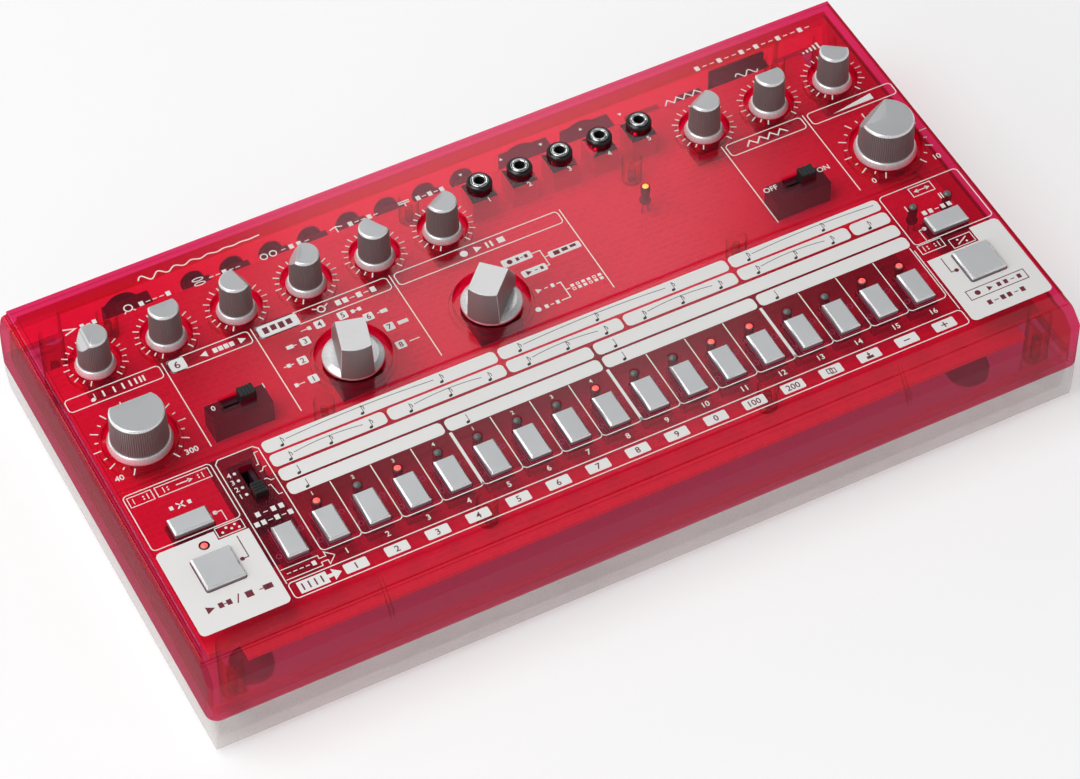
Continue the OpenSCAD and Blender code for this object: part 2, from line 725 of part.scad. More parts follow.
// A screw that points up, its head's seat at the origin, through a board and into a post
module board_screw(thread) {
    translate([0, 0, -board_head_h]) difference() {
        cylinder(r = board_head_r, h = board_head_h);
        cross_slot(2.6, 0.6);
    }
    translate([0, 0, -e]) cylinder(r = board_screw_r, h = board_t + thread);
}

module board_screws() {
    color("silver") {
        for (p = board_posts) translate([p[0], deck_y + p[1], board_low]) board_screw(board_thread);
        for (x = rear_post_x)
            translate([x, rear_post_y, rear_board_z]) mirror([0, 0, 1]) board_screw(rear_thread);
    }
}

module rubber_feet() {
    color([0.1, 0.1, 0.1]) foot_places() cylinder(r = foot_r, h = foot_h + foot_seat);
}

// ---------- electric parts ----------

pot_size = [9.5, 11];
rotary_size = [15, 15];
control_h = 5;
control_floor = 0.6;                        // floor of a control's bore, under its shaft
neck_wall = 1.2;                            // wall of a control's neck

// Body and threaded neck of a turning control, seated on the board under its well
module control_body(size) {
    difference() {
        union() {
            translate([-size[0] / 2, -size[1] / 2, -board_drop]) cube([size[0], size[1], control_h]);
            translate([0, 0, -board_drop + control_h - e])
                cylinder(r = shaft_r + neck_wall,
                         h = board_drop - control_h - well_depth - well_floor - flat_gap);
        }
        translate([0, 0, -board_drop + control_floor]) cylinder(r = shaft_r + shaft_gap, h = far);
    }
}

module potentiometers() {
    color([0.3, 0.35, 0.3]) {
        for (k = small_knobs) on_deck(k[0], knob_row_y) control_body(pot_size);
        for (k = large_knobs) on_deck(k[0], dial_row_y) control_body(pot_size);
    }
}

module rotary_switches() {
    color([0.25, 0.25, 0.28]) for (k = selectors) on_deck(k[0], dial_row_y) control_body(rotary_size);
}

module push_switches() {
    color([0.15, 0.15, 0.16]) for (b = buttons) on_deck(b[0], b[1]) translate([0, 0, -board_drop]) difference() {
        translate([-push_w / 2, -push_w / 2, 0]) cube([push_w, push_w, push_h]);
        translate([0, 0, push_floor]) cylinder(r = plunger_r + shaft_gap, h = far);
    }
}

// A slide switch's body: a box with a slot in its top for the stem
module slide_body(l) {
    translate([0, 0, -board_drop]) difference() {
        translate([-l / 2 - slide_end, -slot_w / 2 - slide_side, 0])
            cube([l + 2 * slide_end, slot_w + 2 * slide_side, slide_body_h]);
        translate([-l / 2 - track_spare, -track_w / 2, slide_body_wall])
            cube([l + 2 * track_spare, track_w, far]);
    }
}

module slide_switches() {
    color([0.35, 0.2, 0.3]) {
        for (x = slide_x) on_deck(x, slide_y) slide_body(slot_l);
        on_deck(scale_x, scale_y) rotate(90) slide_body(scale_slot_l);
    }
}

// A lamp on its two legs, with a flange below its body
module lamp() {
    flange_z = -7;
    flange_t = 0.8;
    leg_r = 0.3;
    leg_span = 2.2;
    translate([0, 0, lamp_h - lamp_r]) sphere(lamp_r);
    translate([0, 0, flange_z]) cylinder(r = lamp_r, h = lamp_h - lamp_r - flange_z);
    translate([0, 0, flange_z]) cylinder(r = lamp_r + 0.4, h = flange_t);
    for (s = [-1, 1])
        translate([s * leg_span / 2, 0, -board_drop])
            cylinder(r = leg_r, h = board_drop + flange_z + flange_t / 2);
}

module lamps() {
    color([1, 0.35, 0.3]) for (p = lamps) on_deck(p[0], p[1]) lamp();
}

// A small socket that points along +Z, with its neck's foot at the origin
module small_socket(body_w, body_d, body_rise, neck) {
    difference() {
        union() {
            translate([-body_w / 2, -body_w / 2, -body_d]) cube([body_w, body_w / 2 + body_rise, body_d]);
            translate([0, 0, -e]) cylinder(r = neck_r, h = neck);
        }
        translate([0, 0, -body_d + socket_floor]) cylinder(r = jack_r, h = far);
    }
}

socket_body_w = 9;
socket_floor = 1;                           // floor of every socket's bore
voice_body_d = 12;
deck_neck = deck_t + nut_t + 0.3;           // the neck ends a little above its nut

module deck_sockets() {
    color([0.2, 0.2, 0.22]) for (x = deck_sockets) on_deck(x, socket_y) translate([0, 0, -deck_t])
        small_socket(socket_body_w, board_drop - deck_t, socket_body_w / 2, deck_neck);
}

module socket_nut(r, bore, t) {
    difference() {
        cylinder(r = r, h = t);
        translate([0, 0, -1]) cylinder(r = bore + thread_gap, h = t + 2);
    }
}

module socket_nuts() {
    color([0.08, 0.08, 0.08]) {
        for (x = deck_sockets) on_deck(x, socket_y) socket_nut(nut_r, neck_r, nut_t);
        for (x = voices) on_rear(x, rear_axis_z)
            translate([0, 0, rear_panel_t]) socket_nut(nut_r, neck_r, nut_t);
        on_rear(mix_x, rear_axis_z)
            translate([0, 0, rear_panel_t]) socket_nut(mix_nut_r, mix_neck_r, nut_t);
    }
}

rear_neck = rear_panel_t + jack_out;

// The sockets behind the rear panel stand on the rear board
module voice_sockets() {
    color([0.2, 0.2, 0.22]) for (x = voices) on_rear(x, rear_axis_z)
        small_socket(socket_body_w, voice_body_d, rear_axis_h, rear_neck);
}

module mix_socket() {
    body_w = 16;
    body_d = 24;
    color([0.2, 0.2, 0.22]) on_rear(mix_x, rear_axis_z) difference() {
        union() {
            translate([-body_w / 2, -body_w / 2, -body_d]) cube([body_w, body_w / 2 + rear_axis_h, body_d]);
            translate([0, 0, -e]) cylinder(r = mix_neck_r, h = rear_neck);
        }
        translate([0, 0, -body_d + socket_floor]) cylinder(r = mix_r, h = far);
    }
}

din_r = 7.4;
din_w = 17.6;
din_body_d = 12;
din_depth = 6;
din_rim = 0.6;                              // wall outside the ring slot
din_slot = 1;                               // width of the ring slot
din_pin_r = 0.75;
din_pin_circle = 4.2;

// A round socket with a ring slot and five pin holes
module five_pin_sockets() {
    color([0.15, 0.15, 0.16]) for (x = dins) on_rear(x, rear_axis_z) difference() {
        union() {
            translate([-din_w / 2, -din_w / 2, -din_body_d]) cube([din_w, din_w / 2 + rear_axis_h, din_body_d]);
            translate([0, 0, -e]) cylinder(r = din_r, h = rear_panel_t + 0.4);
        }
        translate([0, 0, -din_depth]) difference() {
            cylinder(r = din_r - din_rim, h = far);
            cylinder(r = din_r - din_rim - din_slot, h = din_depth + rear_panel_t - din_rim);
        }
        for (a = [0:45:180]) rotate(a) translate([din_pin_circle, 0, -din_depth]) cylinder(r = din_pin_r, h = far);
    }
}

data_w = 12;
data_h = 11;
data_d = 16;
data_mouth = [8.4, 7.8];
data_depth = 8.5;
data_tongue = [5.6, 3.2];
data_axis_z = rear_board_z + data_h / 2;
inlet_w = 9;
inlet_h = 11;
inlet_d = 14;
inlet_r = 3.1;
inlet_depth = 9;
inlet_pin_r = 1;
inlet_axis_z = rear_board_z + inlet_h / 2;

// A square socket with a tongue in its mouth
module data_socket() {
    color([0.7, 0.7, 0.72]) difference() {
        translate([data_x - data_w / 2, panel_back - data_d, rear_board_z])
            cube([data_w, data_d + rear_panel_t, data_h]);
        translate([data_x, panel_face, data_axis_z]) difference() {
            cube([data_mouth[0], 2 * data_depth, data_mouth[1]], center = true);
            translate([0, -data_depth, 0]) cube([data_tongue[0], 2 * data_depth - 3, data_tongue[1]], center = true);
        }
    }
}

module power_inlet() {
    color([0.12, 0.12, 0.13]) {
        difference() {
            translate([inlet_x - inlet_w / 2, panel_back - inlet_d, rear_board_z])
                cube([inlet_w, inlet_d + rear_panel_t, inlet_h]);
            on_rear(inlet_x, inlet_axis_z) translate([0, 0, rear_panel_t - inlet_depth])
                cylinder(r = inlet_r, h = far);
        }
        on_rear(inlet_x, inlet_axis_z) translate([0, 0, rear_panel_t - inlet_depth - 1])
            cylinder(r = inlet_pin_r, h = inlet_depth);
    }
}

switch_w = 19;
switch_h = 12;
switch_d = 15;
rocker_w = 16;
rocker_h = 9;
rocker_pivot = 5;                           // the pivot's depth behind the panel's face
rocker_room = 9;                            // depth of the hollow behind the rear panel
rocker_reach = 5.4;                         // reach of the rocker's ends from the pivot
rocker_dip = 1.2;                           // depth of the bend in its face
rocker_hub_r = 2.2;
pin_r = 1;
pin_l = 1;                                  // reach of the pivot pins beyond the rocker
pin_play = 0.1;                             // room at the pins' ends

// The power switch: a frame that clips into the rear panel, with two pivot bosses
module power_switch() {
    color([0.12, 0.12, 0.13]) translate([power_switch_x, 0, rear_axis_z]) difference() {
        union() {
            translate([-switch_w / 2, panel_back - switch_d, -switch_h / 2])
                cube([switch_w, switch_d + rear_panel_t, switch_h]);
            translate([-switch_w / 2 - 1, panel_face, -switch_h / 2 - 1]) cube([switch_w + 2, 1, switch_h + 2]);
        }
        translate([-rocker_w / 2 - flat_gap, panel_back - rocker_room, -rocker_h / 2 - flat_gap])
            cube([rocker_w + 2 * flat_gap, far, rocker_h + 2 * flat_gap]);
        translate([0, panel_face - rocker_pivot, -rocker_h / 2 - pin_l - pin_play])
            cylinder(r = pin_r + shaft_gap, h = rocker_h + 2 * (pin_l + pin_play));
    }
}

// The rocker rests tilted, pressed in at its end nearer the middle of the case
module power_rocker() {
    color([0.1, 0.1, 0.1]) translate([power_switch_x, panel_face - rocker_pivot, rear_axis_z])
        rotate(rocker_tilt) {
            translate([0, 0, -rocker_h / 2]) linear_extrude(rocker_h)
                polygon([[-rocker_w / 2 + 0.4, pin_r], [rocker_w / 2 - 0.4, pin_r],
                         [rocker_w / 2 - 0.8, rocker_reach], [0, rocker_reach - rocker_dip],
                         [-rocker_w / 2 + 0.8, rocker_reach]]);
            translate([0, 0, -rocker_h / 2]) cylinder(r = rocker_hub_r, h = rocker_h);
            translate([0, 0, -rocker_h / 2 - pin_l]) cylinder(r = pin_r, h = rocker_h + 2 * pin_l);
        }
}

// ---------- knobs ----------

// A shaft with one flat, from inside its control's body up into the knob
module shaft(extra, low, high) {
    difference() {
        translate([0, 0, low]) cylinder(r = shaft_r + extra, h = high - low);
        translate([-far / 2, shaft_flat + extra, extra]) cube([far, far, far]);
    }
}

seat_gap = 0.03;                            // gap between pieces that are pressed together
shaft_cover = 3.5;                          // material of a knob above its shaft
skirt_top = 0.4;                            // where the skirt meets the body
skirt_wall = 1.6;
skirt_hollow = 1.4;                         // depth of the ring hollow under the skirt
hub_wall = 1.2;                             // wall around the shaft inside that hollow
rim_drop = 0.8;                             // height and width of the polished rim
rim_in = 0.55;
bar_rim = 0.6;                              // height and width of the selector bar's rim
bar_rim_in = 0.5;
disc_drop = 0.6;                            // depth of the selector's disc below the deck
shaft_low = -board_drop + control_floor + flat_gap;
shaft_high = knob_h - shaft_cover;

// The pointer facet: all that lies outside a slanted plane
module facet(distance) {
    run = 20;
    along_x([[distance - 2, knob_h + 2 * facet_slope], [distance + run, knob_h + 2 * facet_slope],
             [distance + run, knob_h - run * facet_slope]], far);
}

module round_knob(skirt_r, body_r, top_r, facet_at, angle) {
    rotate(-angle) {
        difference() {
            rotate_extrude() polygon([
                [0, -knob_sink], [skirt_r - 0.1, -knob_sink], [skirt_r, -knob_sink + 0.5],
                [body_r, skirt_top], [top_r, knob_h - rim_drop], [top_r - rim_in, knob_h], [0, knob_h]]);
            facet(facet_at);
            difference() {
                translate([0, 0, -knob_sink - e]) cylinder(r = skirt_r - skirt_wall, h = skirt_hollow);
                translate([0, 0, -knob_sink - 1]) cylinder(r = shaft_r + hub_wall, h = far);
            }
            shaft(seat_gap, -far / 2, shaft_high + 0.1);
        }
        shaft(0, shaft_low, shaft_high);
    }
}

module small_knob(k) {
    color([0.62, 0.6, 0.6]) on_deck(small_knobs[k][0], knob_row_y)
        round_knob(small_skirt_r, small_body_r, small_top_r, small_facet, small_knobs[k][1]);
}

module large_knob(k) {
    color([0.62, 0.6, 0.6]) on_deck(large_knobs[k][0], dial_row_y)
        round_knob(large_skirt_r, large_body_r, large_top_r, large_facet, large_knobs[k][1]);
}

// A selector: a disc with a bar across it, whose pointer end is cut to a facet
module selector(k) {
    top = knob_h;
    low = -knob_sink;
    color([0.62, 0.6, 0.6]) on_deck(selectors[k][0], dial_row_y) rotate(-selectors[k][1]) {
        difference() {
            union() {
                translate([0, 0, low]) cylinder(r = selector_r, h = knob_sink - disc_drop);
                intersection() {
                    translate([0, 0, low]) cylinder(r = selector_r, h = top - low);
                    along_y([[-bar_w / 2 - bar_flare, low], [bar_w / 2 + bar_flare, low],
                             [bar_w / 2, top - bar_rim], [bar_w / 2 - bar_rim_in, top],
                             [-bar_w / 2 + bar_rim_in, top], [-bar_w / 2, top - bar_rim]]);
                }
            }
            facet(selector_facet);
            shaft(seat_gap, -far / 2, shaft_high + 0.1);
        }
        shaft(0, shaft_low, shaft_high);
    }
}

// ---------- buttons and slide caps ----------

push_floor = 0.8;
plunger_top = -board_drop + push_h + 1.6;
plunger_low = -board_drop + push_floor + button_travel + flat_gap;

// A button cap with its rim under the deck and its stem, and the switch's plunger under it
module button(b) {
    w = b[2];
    l = b[3];
    rim_z = -deck_t - flat_gap;
    color([0.72, 0.73, 0.74]) on_deck(b[0], b[1]) {
        intersection() {
            translate([0, 0, rim_z - 1]) rounded(w, l, 0.4, button_h - rim_z + 1);
            along_y([[-w / 2, rim_z - 1], [w / 2, rim_z - 1], [w / 2, button_h - button_chamfer],
                     [w / 2 - button_chamfer, button_h], [-w / 2 + button_chamfer, button_h],
                     [-w / 2, button_h - button_chamfer]]);
            along_x([[-l / 2, rim_z - 1], [l / 2, rim_z - 1], [l / 2, button_h - button_chamfer],
                     [l / 2 - button_chamfer, button_h], [-l / 2 + button_chamfer, button_h],
                     [-l / 2, button_h - button_chamfer]], far);
        }
        translate([0, 0, rim_z - 1]) rounded(w + 1.6, l + 1.6, 0.6, 1);
        translate([0, 0, plunger_top]) cylinder(r = plunger_r + 0.3, h = rim_z - plunger_top);
        translate([0, 0, plunger_low]) cylinder(r = plunger_r, h = plunger_top - seat_gap - plunger_low);
    }
}

grip_pitch = 1.1;
grip_w = 0.5;
grip_depth = 0.4;

// A slide cap along X, with its stem down into the switch, at its place in the slot
module slide_cap(l, offset) {
    w = slot_w - 2 * slide_gap;
    stem_w = track_w - 2 * slide_gap;
    translate([offset, 0, 0]) {
        difference() {
            translate([-l / 2, -w / 2, -deck_t - 0.5]) cube([l, w, slide_h + deck_t + 0.5]);
            for (s = [-1, 0, 1])
                translate([s * grip_pitch - grip_w / 2, -w, slide_h - grip_depth]) cube([grip_w, 2 * w, 1]);
        }
        translate([-l / 2 + stem_in, -stem_w / 2, -board_drop + slide_body_wall + slide_low])
            cube([l - 2 * stem_in, stem_w, board_drop - slide_body_wall - slide_low - deck_t]);
    }
}

module sound_switch_cap() {
    color([0.1, 0.1, 0.1]) on_deck(slide_x[0], slide_y) slide_cap(slide_cap_l, slide_reach);
}

module distortion_switch_cap() {
    color([0.1, 0.1, 0.1]) on_deck(slide_x[1], slide_y) slide_cap(slide_cap_l, slide_reach);
}

module scale_switch_cap() {
    color([0.1, 0.1, 0.1]) on_deck(scale_x, scale_y) rotate(90) slide_cap(scale_cap_l, -scale_reach);
}

top_case();
bottom_case();
rear_panel();
front_board();
rear_board();
board_chips();
case_screws();
board_screws();
rubber_feet();
potentiometers();
rotary_switches();
push_switches();
slide_switches();
lamps();
deck_sockets();
socket_nuts();
voice_sockets();
mix_socket();
five_pin_sockets();
data_socket();
power_inlet();
power_switch();
small_knob(0);  // accent_knob
small_knob(1);  // bass_drum_knob
small_knob(2);  // snare_drum_knob
small_knob(3);  // tom_knob
small_knob(4);  // cymbal_knob
small_knob(5);  // hihat_knob
small_knob(6);  // distortion_knob
small_knob(7);  // tone_knob
small_knob(8);  // level_knob
large_knob(0);  // tempo_knob
large_knob(1);  // volume_knob
selector(0);  // instrument_selector
selector(1);  // mode_selector
button(step_places[0]);  // step_button_01
button(step_places[1]);  // step_button_02
button(step_places[2]);  // step_button_03
button(step_places[3]);  // step_button_04
button(step_places[4]);  // step_button_05
button(step_places[5]);  // step_button_06
button(step_places[6]);  // step_button_07
button(step_places[7]);  // step_button_08
button(step_places[8]);  // step_button_09
button(step_places[9]);  // step_button_10
button(step_places[10]);  // step_button_11
button(step_places[11]);  // step_button_12
button(step_places[12]);  // step_button_13
button(step_places[13]);  // step_button_14
button(step_places[14]);  // step_button_15
button(step_places[15]);  // step_button_16
button(function_place);  // function_button
button(clear_place);  // clear_button
button(start_place);  // start_stop_button
button(group_place);  // group_button
button(write_place);  // write_button
sound_switch_cap();
distortion_switch_cap();
scale_switch_cap();
power_rocker();
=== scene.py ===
"""A desk-top drum machine with a see-through red deck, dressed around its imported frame."""

import json
import math

import bmesh
import bpy
from mathutils import Matrix, Vector
from mathutils.geometry import tessellate_polygon

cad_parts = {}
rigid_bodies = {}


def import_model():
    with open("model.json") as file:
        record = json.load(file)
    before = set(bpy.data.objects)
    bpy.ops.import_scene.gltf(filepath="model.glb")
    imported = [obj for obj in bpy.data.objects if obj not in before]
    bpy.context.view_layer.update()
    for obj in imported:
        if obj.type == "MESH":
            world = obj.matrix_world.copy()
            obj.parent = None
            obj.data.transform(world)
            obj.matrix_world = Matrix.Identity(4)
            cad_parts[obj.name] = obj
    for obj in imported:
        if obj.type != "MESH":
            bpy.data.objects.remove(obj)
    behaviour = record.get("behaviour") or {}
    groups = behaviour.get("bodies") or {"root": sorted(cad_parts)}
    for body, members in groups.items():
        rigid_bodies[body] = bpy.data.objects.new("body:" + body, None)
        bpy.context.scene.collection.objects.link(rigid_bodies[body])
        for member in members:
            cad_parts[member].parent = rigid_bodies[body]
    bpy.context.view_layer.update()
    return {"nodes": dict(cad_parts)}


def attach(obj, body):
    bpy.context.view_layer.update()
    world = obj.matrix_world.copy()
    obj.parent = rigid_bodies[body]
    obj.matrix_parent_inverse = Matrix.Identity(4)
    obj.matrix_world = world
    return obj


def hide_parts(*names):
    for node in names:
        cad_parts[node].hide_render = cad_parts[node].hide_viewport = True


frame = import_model()

MM = 0.001
DECK = Vector((0.0, 2.0, 43.6))  # middle of the deck, in millimetres
BODY = "case"
PRINT_T = 0.04  # thickness of the printed ink, in millimetres

SCENE = bpy.context.scene


# ------------------------------------------------ places, in deck millimetres

SMALL_ROW_Y = 41.95
DIAL_ROW_Y = 7.3
EDGE_X = 132.9
KNOB_PITCH = 24.27
SMALL_KNOBS = [
    ("accent_knob", -EDGE_X, -88),
    ("bass_drum_knob", -EDGE_X + KNOB_PITCH, 0),
    ("snare_drum_knob", -EDGE_X + 2 * KNOB_PITCH, 78),
    ("tom_knob", -EDGE_X + 3 * KNOB_PITCH, -55),
    ("cymbal_knob", -EDGE_X + 4 * KNOB_PITCH, 60),
    ("hihat_knob", -EDGE_X + 5 * KNOB_PITCH, -30),
    ("distortion_knob", EDGE_X - 2 * KNOB_PITCH, -32),
    ("tone_knob", EDGE_X - KNOB_PITCH, 0),
    ("level_knob", EDGE_X, 35),
]
LARGE_KNOBS = [("tempo_knob", -EDGE_X, 0), ("volume_knob", EDGE_X, -32)]
SELECTORS = [
    ("instrument_selector", -EDGE_X + 3 * KNOB_PITCH, 15),
    ("mode_selector", -EDGE_X + 5 * KNOB_PITCH, 45),
]
STEP_X, STEP_PITCH, STEP_COUNT = -95.57, 13.67, 16
BUTTON_Y = -51.1
LAMP_Y = -40.8
POWER_LAMP = (54.5, 27.2)
LIT_STEPS = (1, 3, 8, 11, 12, 15, 16)
SOCKET_X, SOCKET_PITCH, SOCKET_Y = 7.12, 14.65, 52.7


def step_at(k):
    return STEP_X + k * STEP_PITCH


# ------------------------------------------------ materials


def new_material(name):
    material = bpy.data.materials.new(name)
    material.use_nodes = True
    tree = material.node_tree
    return material, tree, tree.nodes["Principled BSDF"], tree.nodes["Material Output"]


def fill(tree, node, values):
    """Sets a node's inputs. A socket among the values is linked."""
    for key, value in values.items():
        if isinstance(value, bpy.types.NodeSocket):
            tree.links.new(value, node.inputs[key])
        else:
            node.inputs[key].default_value = value
    return node


def add(tree, kind, values=None, **settings):
    node = tree.nodes.new(kind)
    for key, value in settings.items():
        setattr(node, key, value)
    return fill(tree, node, values or {})


def calculated(tree, operation, *values):
    return add(tree, "ShaderNodeMath", dict(enumerate(values)), operation=operation).outputs[0]


def mixed(tree, factor, first, second):
    """A shader between two."""
    ends = {"Fac": factor, 1: first.outputs[0], 2: second.outputs[0]}
    return add(tree, "ShaderNodeMixShader", ends)


def object_noise(tree, scale, detail=2.0, roughness=0.5, stretch=(1, 1, 1)):
    """Noise on Object coordinates, with scale in cells for each metre."""
    coords = add(tree, "ShaderNodeTexCoord").outputs["Object"]
    place = add(tree, "ShaderNodeMapping", {"Vector": coords, "Scale": stretch}).outputs[0]
    values = {"Vector": place, "Scale": scale, "Detail": detail, "Roughness": roughness}
    return add(tree, "ShaderNodeTexNoise", values).outputs["Fac"]


def ranged(tree, socket, low, high, source=(0.3, 0.7)):
    """A value between low and high that follows the socket."""
    ends = {"From Min": source[0], "From Max": source[1], "To Min": low, "To Max": high}
    return add(tree, "ShaderNodeMapRange", {"Value": socket, **ends}).outputs["Result"]


def two_tone(tree, socket, first, second, source=(0.3, 0.7)):
    """A colour between two, following the socket."""
    share = ranged(tree, socket, 0, 1, source)
    ends = {"A": (*first, 1), "B": (*second, 1), "Factor": share}
    return add(tree, "ShaderNodeMix", ends, data_type="RGBA").outputs["Result"]


def shaded(color, factor):
    return tuple(min(1, c * factor) for c in color)


def grained(
    name,
    color,
    roughness,
    metallic=0.0,
    tone=0.12,
    blotch=60.0,
    grain=2500.0,
    depth=0.01,
    stretch=(1, 1, 1),
    specular=0.5,
):
    """A solid finish: slight blotches, uneven gloss and a fine grain, depth millimetres deep."""
    material, tree, bsdf, _ = new_material(name)
    wide = object_noise(tree, blotch)
    fine = object_noise(tree, grain, 2.0, 0.6, stretch)
    bump = add(tree, "ShaderNodeBump", {"Strength": 0.35, "Distance": depth * MM, "Height": fine})
    values = {
        "Base Color": two_tone(tree, wide, shaded(color, 1 - tone), shaded(color, 1 + tone)),
        "Roughness": ranged(tree, fine, roughness * 0.85, min(1, roughness * 1.15)),
        "Normal": bump.outputs["Normal"],
        "Metallic": metallic,
        "Specular IOR Level": specular,
    }
    fill(tree, bsdf, values)
    return material


SLANT_RANGE = (0.45, 0.8)  # from here on a clear wall darkens, and here it is darkest
MIRROR_SHARE = (0.04, 0.2)  # what a clear wall mirrors, seen head on and along itself
MIRROR_POWER = 5.0
LAMP_STRENGTH = 0.9


def clear_wall(name, tint, slanted_tint, haze, opacity, roughness):
    """The skin of a clear wall. Tinted light goes through it, and a little is scattered as haze.
    A slanted view through it is darker, and mirrors more."""
    material, tree, bsdf, output = new_material(name)
    wide = object_noise(tree, 25.0, 3.0)
    fine = object_noise(tree, 1400.0)
    cloudy = two_tone(tree, wide, shaded(haze, 0.92), shaded(haze, 1.08))
    fill(tree, bsdf, {"Base Color": cloudy, "Roughness": 0.6, "Specular IOR Level": 0.0})
    slant = add(tree, "ShaderNodeLayerWeight", {"Blend": 0.5}).outputs["Facing"]
    tinted = two_tone(tree, slant, tint, slanted_tint, SLANT_RANGE)
    clear = add(tree, "ShaderNodeBsdfTransparent", {"Color": tinted})
    milky = mixed(tree, ranged(tree, wide, opacity * 0.94, opacity * 1.06), clear, bsdf)
    uneven = ranged(tree, fine, roughness * 0.85, roughness * 1.15)
    gloss = add(tree, "ShaderNodeBsdfAnisotropic", {"Roughness": uneven})
    steep = calculated(tree, "POWER", slant, MIRROR_POWER)
    whole = mixed(tree, ranged(tree, steep, *MIRROR_SHARE, (0, 1)), milky, gloss)
    fill(tree, output, {"Surface": whole.outputs[0]})
    return material


def glowing(name, color, light):
    """A lamp's tinted dome, lit from within by a slightly uneven light."""
    material, tree, bsdf, _ = new_material(name)
    patches = object_noise(tree, 900.0)
    values = {
        "Base Color": (*color, 1),
        "Roughness": 0.25,
        "Emission Color": two_tone(tree, patches, shaded(light, 0.85), light),
        "Emission Strength": LAMP_STRENGTH,
    }
    fill(tree, bsdf, values)
    return material


RED_CLEAR = clear_wall(
    "red_clear_plastic",
    tint=(0.985, 0.205, 0.42),
    slanted_tint=(0.64, 0.035, 0.20),
    haze=(0.72, 0.03, 0.13),
    opacity=0.04,
    roughness=0.15,
)
FROSTED_CLEAR = clear_wall(
    "frosted_clear_plastic",
    tint=(0.95, 0.945, 0.94),
    slanted_tint=(0.90, 0.89, 0.88),
    haze=(0.88, 0.86, 0.85),
    opacity=0.32,
    roughness=0.3,
)
PAINT = dict(tone=0.03, blotch=40, grain=6000, depth=0.001)
BRIGHT = dict(tone=0.03, blotch=80, grain=6000, depth=0.0005)
COATED = dict(metallic=0.3, tone=0.04, blotch=50, grain=6000, depth=0.002)
SATIN_SILVER = grained("satin_silver_paint", (0.60, 0.61, 0.62), 0.36, metallic=0.55, **PAINT)
# the selector tops are lighter than the knob tops as a painted highlight of the sheen they catch
SELECTOR_TOP_HIGHLIGHT = grained("selector_top_painted_highlight", (0.80, 0.79, 0.79), 0.34, metallic=0.35, **PAINT)
KNURL_SILVER = grained(
    "knurled_silver_paint", (0.26, 0.235, 0.235), 0.42,
    metallic=0.35, tone=0.05, grain=5000, depth=0.004,
)
POLISHED_RIM = grained("polished_rim", (0.84, 0.84, 0.84), 0.26, metallic=0.45, **BRIGHT)
# a glossier copy of the button paint for the softened edges, also lighter as a painted highlight
BUTTON_EDGE_HIGHLIGHT = grained("button_edge_painted_highlight", (0.80, 0.80, 0.81), 0.24, metallic=0.8, **BRIGHT)
BUTTON_SILVER = grained("button_silver_paint", (0.61, 0.62, 0.63), 0.45, **COATED)
# a dark copy of the button paint for the sides: painted shade
BUTTON_SIDE_SHADE = grained("button_side_painted_shade", (0.20, 0.19, 0.195), 0.42, **COATED)
WHITE_INK = grained(
    "white_ink", (0.80, 0.79, 0.77), 0.5,
    tone=0.02, blotch=30, grain=3000, depth=0.004, specular=0.3,
)
INK = dict(tone=0.05, blotch=50, grain=3000, depth=0.004)
DARK_INK = grained("dark_red_ink", (0.16, 0.015, 0.03), 0.5, **INK)
NOTE_INK = grained("note_ink", (0.05, 0.035, 0.04), 0.5, **INK)
BLACK_MOULDED = grained(
    "black_moulded_plastic", (0.012, 0.013, 0.013), 0.38, tone=0.2, grain=1800, depth=0.02
)
BLACK_GLOSS = grained("black_glossy_plastic", (0.010, 0.010, 0.011), 0.22, tone=0.2)
STAMPED_STEEL = grained(
    "stamped_steel", (0.50, 0.50, 0.52), 0.33,
    metallic=1.0, tone=0.06, blotch=50, grain=900, stretch=(1, 14, 1),
)
SCREW_STEEL = grained(
    "zinc_plated_steel", (0.55, 0.55, 0.58), 0.3, metallic=1.0, tone=0.1, blotch=300, grain=1500
)
CONTACT_CHROME = grained(
    "contact_chrome", (0.75, 0.77, 0.76), 0.12,
    metallic=1.0, tone=0.03, blotch=200, grain=3000, depth=0.002,
)
FOOT_RUBBER = grained(
    "foot_rubber", (0.018, 0.018, 0.018), 0.75, tone=0.2, blotch=80, grain=2200, depth=0.05
)
SWITCH_BODY = grained(
    "dark_switch_plastic", (0.035, 0.028, 0.034), 0.45, tone=0.15, grain=1500, depth=0.02
)
SOCKET_GREY = grained(
    "dark_socket_plastic", (0.085, 0.07, 0.075), 0.45, tone=0.15, grain=1500, depth=0.02
)
GREY_SWITCH = grained("grey_switch_plastic", (0.42, 0.41, 0.42), 0.45, tone=0.06, grain=1500)
SOCKET_WHITE = grained("white_socket_plastic", (0.82, 0.80, 0.80), 0.4, tone=0.03, grain=1500)
# pink marks on the deck: painted glints of the bosses under the deck
PINK_GLINT = grained("pink_painted_glint", (0.42, 0.03, 0.11), 0.3, tone=0.05, grain=1500)
LAMP_LIT = glowing("lit_lamp", (0.9, 0.05, 0.04), (1.0, 0.16, 0.14))
LAMP_POWER = glowing("power_lamp", (0.9, 0.35, 0.05), (1.0, 0.55, 0.12))
LAMP_DARK = grained(
    "dark_lamp", (0.13, 0.14, 0.13), 0.18, tone=0.08, blotch=300, grain=2000, depth=0.002
)


